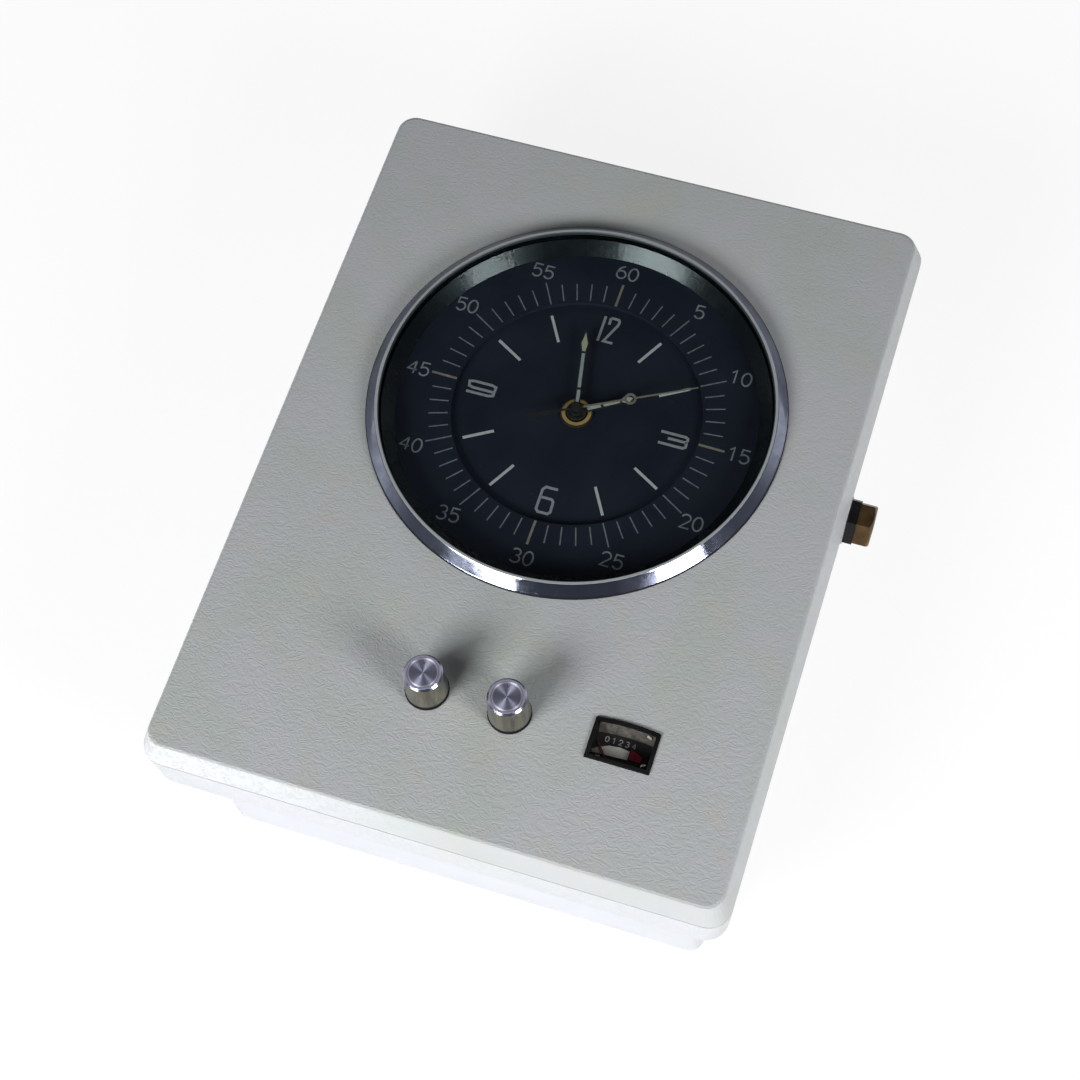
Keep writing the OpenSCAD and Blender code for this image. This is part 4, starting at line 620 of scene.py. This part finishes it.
# Digits drawn as lines in a box 1 high, each with whether it closes on itself
DIGITS = {
    "0": [(arc(0, 0, 0.27, 0.43, 0, 345, 23), True)],
    "1": [([(-0.18, 0.24), (0.04, 0.43), (0.04, -0.43)], False)],
    "2": [(arc(0, 0.18, 0.26, 0.25, 165, -25) + [(-0.26, -0.43), (0.28, -0.43)], False)],
    "3": [(arc(-0.02, 0.22, 0.24, 0.21, 150, -80) + arc(-0.02, -0.2, 0.28, 0.23, 80, -150), False)],
    "4": [([(0.13, -0.43), (0.13, 0.4)], False), ([(0.13, 0.4), (-0.27, -0.16), (0.28, -0.16)], False)],
    "5": [([(0.25, 0.43), (-0.19, 0.43), (-0.22, 0.05)] + arc(0, -0.15, 0.27, 0.28, 125, -150), False)],
    "6": [(arc(0, -0.16, 0.27, 0.27, 0, 345, 23), True), (arc(0.3, -0.12, 0.57, 0.58, 180, 108, 8), False)],
}


def write_number(ink, text, x, y, height, stroke):
    """Digits centred on x, y."""
    spacing = 0.72
    left = -(len(text) - 1) * spacing / 2
    for i, digit in enumerate(text):
        for path, closed in DIGITS[digit]:
            placed = [(x + (px + left + i * spacing) * height, y + py * height) for px, py in path]
            ink.ribbon(placed, stroke, closed)


def polar(radius, clockwise):
    """A point at radius and degrees clockwise from twelve, from the dial's centre."""
    angle = math.radians(90 - clockwise)
    return (DIAL_CENTRE.x + radius * math.cos(angle), DIAL_CENTRE.y + radius * math.sin(angle))


def spoke(ink, radii, clockwise, width):
    """A straight mark on the dial between two radii, at degrees clockwise from twelve."""
    ink.ribbon([polar(radius, clockwise) for radius in radii], width)


def print_minute_track():
    """Sixty ticks and twelve numbers on the raised outer ring."""
    z = top_of("chapter_ring")
    thin = Ink(z)
    amber = Ink(z)
    numbers = Ink(z)
    dial_turn = 0.84
    long_tick = (45.8 * MM, 55.4 * MM)
    short_tick = (46.5 * MM, 53.5 * MM)
    quarter_width = 0.88 * MM
    five_minute_width = 0.5 * MM
    minute_width = 0.46 * MM
    number_radius = 60.6 * MM
    number_height = 6.2 * MM
    number_stroke = 0.62 * MM
    for minute in range(60):
        angle = 6 * minute + dial_turn
        if minute % 15 == 0:
            spoke(amber, long_tick, angle, quarter_width)
        elif minute % 5 == 0:
            spoke(thin, long_tick, angle, five_minute_width)
        else:
            spoke(thin, short_tick, angle, minute_width)
    for minute in range(5, 61, 5):
        x, y = polar(number_radius, 6 * minute + dial_turn)
        write_number(numbers, str(minute), x, y, number_height, number_stroke)
    ink_kind = {"roughness": (0.5, 0.65), "specular": 0.3, "patch": 2.0, "grain": 0.3, "depth": 0.004}
    grey = plain_paint("grey_ink", (92, 97, 102), (68, 73, 79), **ink_kind)
    pale = plain_paint("number_ink", (106, 112, 115), (80, 86, 89), **ink_kind)
    tan = plain_paint("amber_ink", (102, 98, 89), (80, 77, 70), **ink_kind)
    thin.piece("minute_ticks", grey, "case", "hand_paint")
    amber.piece("quarter_ticks", tan, "case", "hand_paint")
    numbers.piece("minute_numbers", pale, "case", "hand_paint")


# Strokes of the large numbers in a box 1 wide and 1 high
ONE = [(0, 0.5), (0, -0.5)]
TWO = [(-0.44, 0.22), (-0.47, 0.44), (-0.28, 0.5), (0.36, 0.49), (0.5, 0.42), (0.47, 0.27), (-0.47, -0.5),
       (0.5, -0.5)]
THREE_TOP = [(-0.5, 0.5), (0.41, 0.5), (0.5, 0.38), (0.5, 0.18), (0.44, 0.04), (-0.2, 0.04)]
THREE_FOOT = [(0.44, 0.04), (0.5, -0.1), (0.5, -0.38), (0.41, -0.5), (-0.5, -0.5)]
SIX = [(0.5, 0.5), (-0.32, 0.5), (-0.5, 0.38), (-0.5, -0.4), (-0.34, -0.5), (0.34, -0.5), (0.5, -0.4),
       (0.46, 0.0), (0.3, 0.08), (-0.45, 0.08)]
NINE = [(-x, -y) for x, y in SIX]

# Each stroke with the middle and the size of its box, in millimetres from the dial's centre
LARGE_STROKES = [
    (ONE, (-1.75, 36.4), (1.0, 10.7)),
    (TWO, (2.0, 36.5), (3.6, 10.2)),
    (THREE_TOP, (36.4, -0.6), (10.1, 4.6)),
    (THREE_FOOT, (36.4, -0.6), (10.1, 4.6)),
    (SIX, (0.3, -36.4), (5.3, 10.1)),
    (NINE, (-36.3, 0.0), (10.1, 4.6)),
]


def paint_hour_marks(material):
    """Eight bars and the numbers 12, 3, 6 and 9 in thin strokes, as high as the modelled marks."""
    low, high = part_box("hour_markers")
    marks = Ink(low.z, high.z - low.z)
    bar = (30.5 * MM, 42 * MM)
    bar_width = 1.02 * MM
    stroke_width = 0.95 * MM
    for hour in range(12):
        if hour % 3:
            spoke(marks, bar, 30 * hour, bar_width)
    for points, centre, size in LARGE_STROKES:
        path = []
        for px, py in points:
            x = DIAL_CENTRE.x + (centre[0] + px * size[0]) * MM
            y = DIAL_CENTRE.y + (centre[1] + py * size[1]) * MM
            path.append((x, y))
        marks.ribbon(path, stroke_width)
    piece = marks.piece("dial_marks", material, "case", "lume")
    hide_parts("hour_markers")


def make_funnel():
    """Sloping black ring between the number ring and the glass."""
    low = top_of("chapter_ring") + 0.02 * MM
    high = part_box("crystal")[0].z - 0.03 * MM
    wall = 0.25 * MM
    inner = 65.6 * MM
    outer = 70.3 * MM
    section = [(inner, low), (inner + wall, low), (outer, high - wall), (outer, high), (outer - wall, high)]
    steps = 180
    points = []
    faces = []
    for i in range(steps):
        x, y = math.cos(2 * math.pi * i / steps), math.sin(2 * math.pi * i / steps)
        points.extend((DIAL_CENTRE.x + r * x, DIAL_CENTRE.y + r * y, z) for r, z in section)
    count = len(section)
    for i in range(steps):
        here, there = i * count, (i + 1) % steps * count
        for j in range(count):
            k = (j + 1) % count
            faces.append([here + j, there + j, there + k, here + k])
    make_piece("dial_funnel", points, faces, funnel_enamel("funnel_enamel"), "case")


def meter_point(x, y):
    """A point of the meter's card, in millimetres from the middle of its window."""
    return (METER_CENTRE.x + x * MM, METER_CENTRE.y + y * MM)


def card_white():
    """White print on the meter's card, with painted shade darkening it towards its left end, and a worn
    grain.
    """
    finish = Finish("card_white", 0.0, 0.5, 0.4)
    # Painted shade: the print darkens towards its left end.
    side = finish.remap(finish.axis(finish.place, "X"), METER_CENTRE.x - 9 * MM, METER_CENTRE.x)
    grain = finish.noise(0.6, 3.0, 0.6)
    shade = finish.blend(side, rgb(150, 146, 148), rgb(240, 239, 236))
    finish.set("Base Color", finish.blend(finish.remap(grain, 0.5, 0.8, 0.0, 0.3), shade, rgb(120, 118, 120)))
    finish.relief(grain, 0.004)
    return finish.material


def print_meter_card():
    """White wedge, red end block and five plain digits on the meter's card."""
    z = top_of("meter_scale")
    wedge = Ink(z)
    wedge_foot = [(-10.6, -3.5), (2.3, -3.0)]
    wedge_crown = [(2.3, 0.2), (-1.5, 0.6), (-5.0, 0.2), (-8.0, -1.0), (-10.6, -2.8)]
    wedge.prism([meter_point(x, y) for x, y in wedge_foot + wedge_crown])
    block = Ink(z)
    block_outline = [(2.6, -2.6), (6.8, -2.8), (6.8, -0.6), (2.6, 1.0)]
    block.prism([meter_point(x, y) for x, y in block_outline])
    marks = Ink(z)
    first_digit = -6.2
    digit_step = 2.35
    digit_row = 2.3
    digit_height = 2.2 * MM
    digit_stroke = 0.3 * MM
    for digit in range(5):
        x, y = meter_point(first_digit + digit_step * digit, digit_row)
        write_number(marks, str(digit), x, y, digit_height, digit_stroke)
    red = plain_paint("card_red", (216, 40, 78), (172, 30, 60), roughness=(0.4, 0.55), specular=0.4,
                      patch=3.0, grain=0.4, depth=0.004)
    pale = plain_paint("card_marks", (176, 171, 178), (140, 136, 143), roughness=(0.5, 0.6), specular=0.3,
                       patch=2.0, grain=0.3, depth=0.004)
    wedge.piece("meter_wedge", card_white(), "case", "meter_card")
    block.piece("meter_red_block", red, "case", "pointer_red")
    marks.piece("meter_marks", pale, "case", "meter_card")


def make_meter_liner():
    """Grey strip that slopes from the window's arched edge down to the card."""
    low = top_of("meter_scale") + 0.05 * MM
    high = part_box("meter_window")[0].z - 0.05 * MM
    half = 9.7 * MM
    radius = 75 * MM
    crown = 6.35 * MM
    steps = 16
    # The strip's section: how far each corner lies below the arch, and its height
    section = ((0, high), (1.7 * MM, low), (1.3 * MM, low), (-0.3 * MM, high))
    points = []
    faces = []
    for i in range(steps + 1):
        x = -half + 2 * half * i / steps
        arch = METER_CENTRE.y + crown - radius + math.sqrt(radius ** 2 - x ** 2)
        for drop, z in section:
            points.append((METER_CENTRE.x + x, arch - drop, z))
    for i in range(steps):
        here, there = 4 * i, 4 * (i + 1)
        for j in range(4):
            k = (j + 1) % 4
            faces.append([here + j, here + k, there + k, there + j])
    faces.append([3, 2, 1, 0])
    faces.append([4 * steps, 4 * steps + 1, 4 * steps + 2, 4 * steps + 3])
    grey = plain_paint("liner_plastic", (96, 93, 92), (52, 50, 50), roughness=(0.3, 0.45),
                       patch=2.0, grain=0.5, depth=0.01, stretch=(0.1, 1, 1))
    make_piece("meter_liner", points, faces, grey, "case")


def make_meter_lugs():
    """Three small pale lugs just under the window, put where its edges show glints, as painted highlights."""
    gap = 0.05 * MM
    thickness = 0.7 * MM
    glint_lugs = Ink(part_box("meter_window")[0].z - gap - thickness, thickness)
    outline = ((-0.9, -0.25), (0.9, -0.35), (0.6, 0.3), (-0.7, 0.35))
    # Painted glints: each pale lug sits where a glint of the window's edge shows.
    for x, y, turn in ((7.8, 5.2, -20), (8.5, -4.9, 30), (-7.0, -6.0, 5)):
        angle = math.radians(turn)
        corners = []
        for across, along in outline:
            corners.append(meter_point(x + across * math.cos(angle) - along * math.sin(angle),
                                       y + across * math.sin(angle) + along * math.cos(angle)))
        glint_lugs.prism(corners)
    pale = plain_paint("glint_lug_plastic", (206, 204, 200), (150, 148, 146), roughness=(0.2, 0.35),
                       specular=0.6, patch=1.0, grain=0.4, depth=0.01)
    glint_lugs.piece("meter_glint_lugs", pale, "case", "white_plastic")


# Studio: camera, floor, sky and lamps

def aim(obj, place, target):
    """Put a lamp at place, looking at target."""
    obj.location = place
    obj.rotation_euler = (Vector(target) - Vector(place)).to_track_quat("-Z", "Y").to_euler()


def make_camera():
    """The photograph's camera, found from the corners of the face and the rings of the bezel."""
    data = bpy.data.cameras.new("camera")
    data.sensor_width = 36.0
    data.lens = 72.339
    data.clip_start = 0.01
    camera = bpy.data.objects.new("camera", data)
    bpy.context.scene.collection.objects.link(camera)
    right = Vector((0.950692, 0.306472, -0.047528))
    up = Vector((-0.258407, 0.867507, 0.425037))
    back = Vector((0.171493, -0.391798, 0.903927))
    place = Vector((0.134335, -0.320005, 0.742991))
    turn = Matrix((right, up, back)).transposed().to_4x4()
    camera.matrix_world = Matrix.Translation(place) @ turn
    bpy.context.scene.camera = camera


def make_floor():
    """White table that keeps the shadow and fades to white further out."""
    half = 5.0
    just_below = -0.0004
    corners = [(x * half, y * half, just_below) for x, y in ((-1, -1), (1, -1), (1, 1), (-1, 1))]
    mesh = bpy.data.meshes.new("floor")
    mesh.from_pydata(corners, [], [(0, 1, 2, 3)])
    floor = bpy.data.objects.new("floor", mesh)
    bpy.context.scene.collection.objects.link(floor)
    finish = Finish("white_table", 0.0, 0.9, 0.2)
    grain = finish.noise(60.0, 2.0, 0.5)
    finish.set("Base Color", finish.blend(grain, (0.9, 0.9, 0.9, 1), (0.92, 0.92, 0.92, 1)))
    rays = finish.add("ShaderNodeLightPath")
    seen = finish.math("MAXIMUM", rays.outputs["Is Camera Ray"], rays.outputs["Is Glossy Ray"])
    seen = finish.math("MAXIMUM", seen, rays.outputs["Is Transmission Ray"])
    far = finish.remap(finish.distance(finish.place), 0.25, 0.9, 0.87, 1.0)
    glow = finish.add("ShaderNodeEmission", Color=(1, 1, 1, 1), Strength=1.0)
    glow_share = finish.math("MULTIPLY", seen, far)
    finish.mix_shaders(glow_share, finish.shader.outputs["BSDF"], glow.outputs["Emission"])
    mesh.materials.append(finish.material)


def make_sky():
    """A room that is white round the sides and dim overhead."""
    world = bpy.data.worlds.new("studio")
    bpy.context.scene.world = world
    world.use_nodes = True
    tree = world.node_tree
    place = tree.nodes.new("ShaderNodeTexCoord")
    parts = tree.nodes.new("ShaderNodeSeparateXYZ")
    ramp = tree.nodes.new("ShaderNodeValToRGB")
    tree.links.new(place.outputs["Generated"], parts.inputs[0])
    tree.links.new(parts.outputs["Z"], ramp.inputs["Fac"])
    tree.links.new(ramp.outputs["Color"], tree.nodes["Background"].inputs["Color"])
    stops = ramp.color_ramp.elements
    stops[0].position = 0.03
    stops[0].color = (1.0, 1.0, 1.0, 1.0)
    stops[1].position = 0.55
    stops[1].color = (0.055, 0.058, 0.065, 1.0)
    between = stops.new(0.14)
    between.color = (0.2, 0.21, 0.23, 1.0)


def add_lamp(name, azimuth, elevation, distance, width, height, level):
    """A soft lamp. level is the light it throws on a surface that faces it at the object."""
    data = bpy.data.lights.new(name, "AREA")
    data.shape = "RECTANGLE"
    data.size = width
    data.size_y = height
    data.energy = level * math.pi ** 2 * distance ** 2
    lamp = bpy.data.objects.new(name, data)
    bpy.context.scene.collection.objects.link(lamp)
    a = math.radians(azimuth)
    e = math.radians(elevation)
    target = Vector((0, 0, 0.06))
    place = target + distance * Vector((math.cos(a) * math.cos(e), math.sin(a) * math.cos(e), math.sin(e)))
    aim(lamp, place, target)


def make_lamps():
    """Two windows in front of the clock and a weak broad light behind it."""
    add_lamp("front_window", azimuth=-114, elevation=27, distance=1.15, width=0.56, height=0.34, level=1.27)
    add_lamp("right_window", azimuth=-29, elevation=25, distance=1.0, width=0.34, height=0.3, level=0.82)
    add_lamp("back_fill", azimuth=80, elevation=24, distance=2.6, width=2.4, height=1.4, level=0.16)


bpy.context.scene.view_settings.view_transform = "Standard"
make_camera()
make_floor()
make_sky()
make_lamps()
finishes = make_finishes()
dress_solids(finishes)
print_minute_track()
paint_hour_marks(finishes["lume"])
make_funnel()
make_meter_liner()
make_meter_lugs()
print_meter_card()
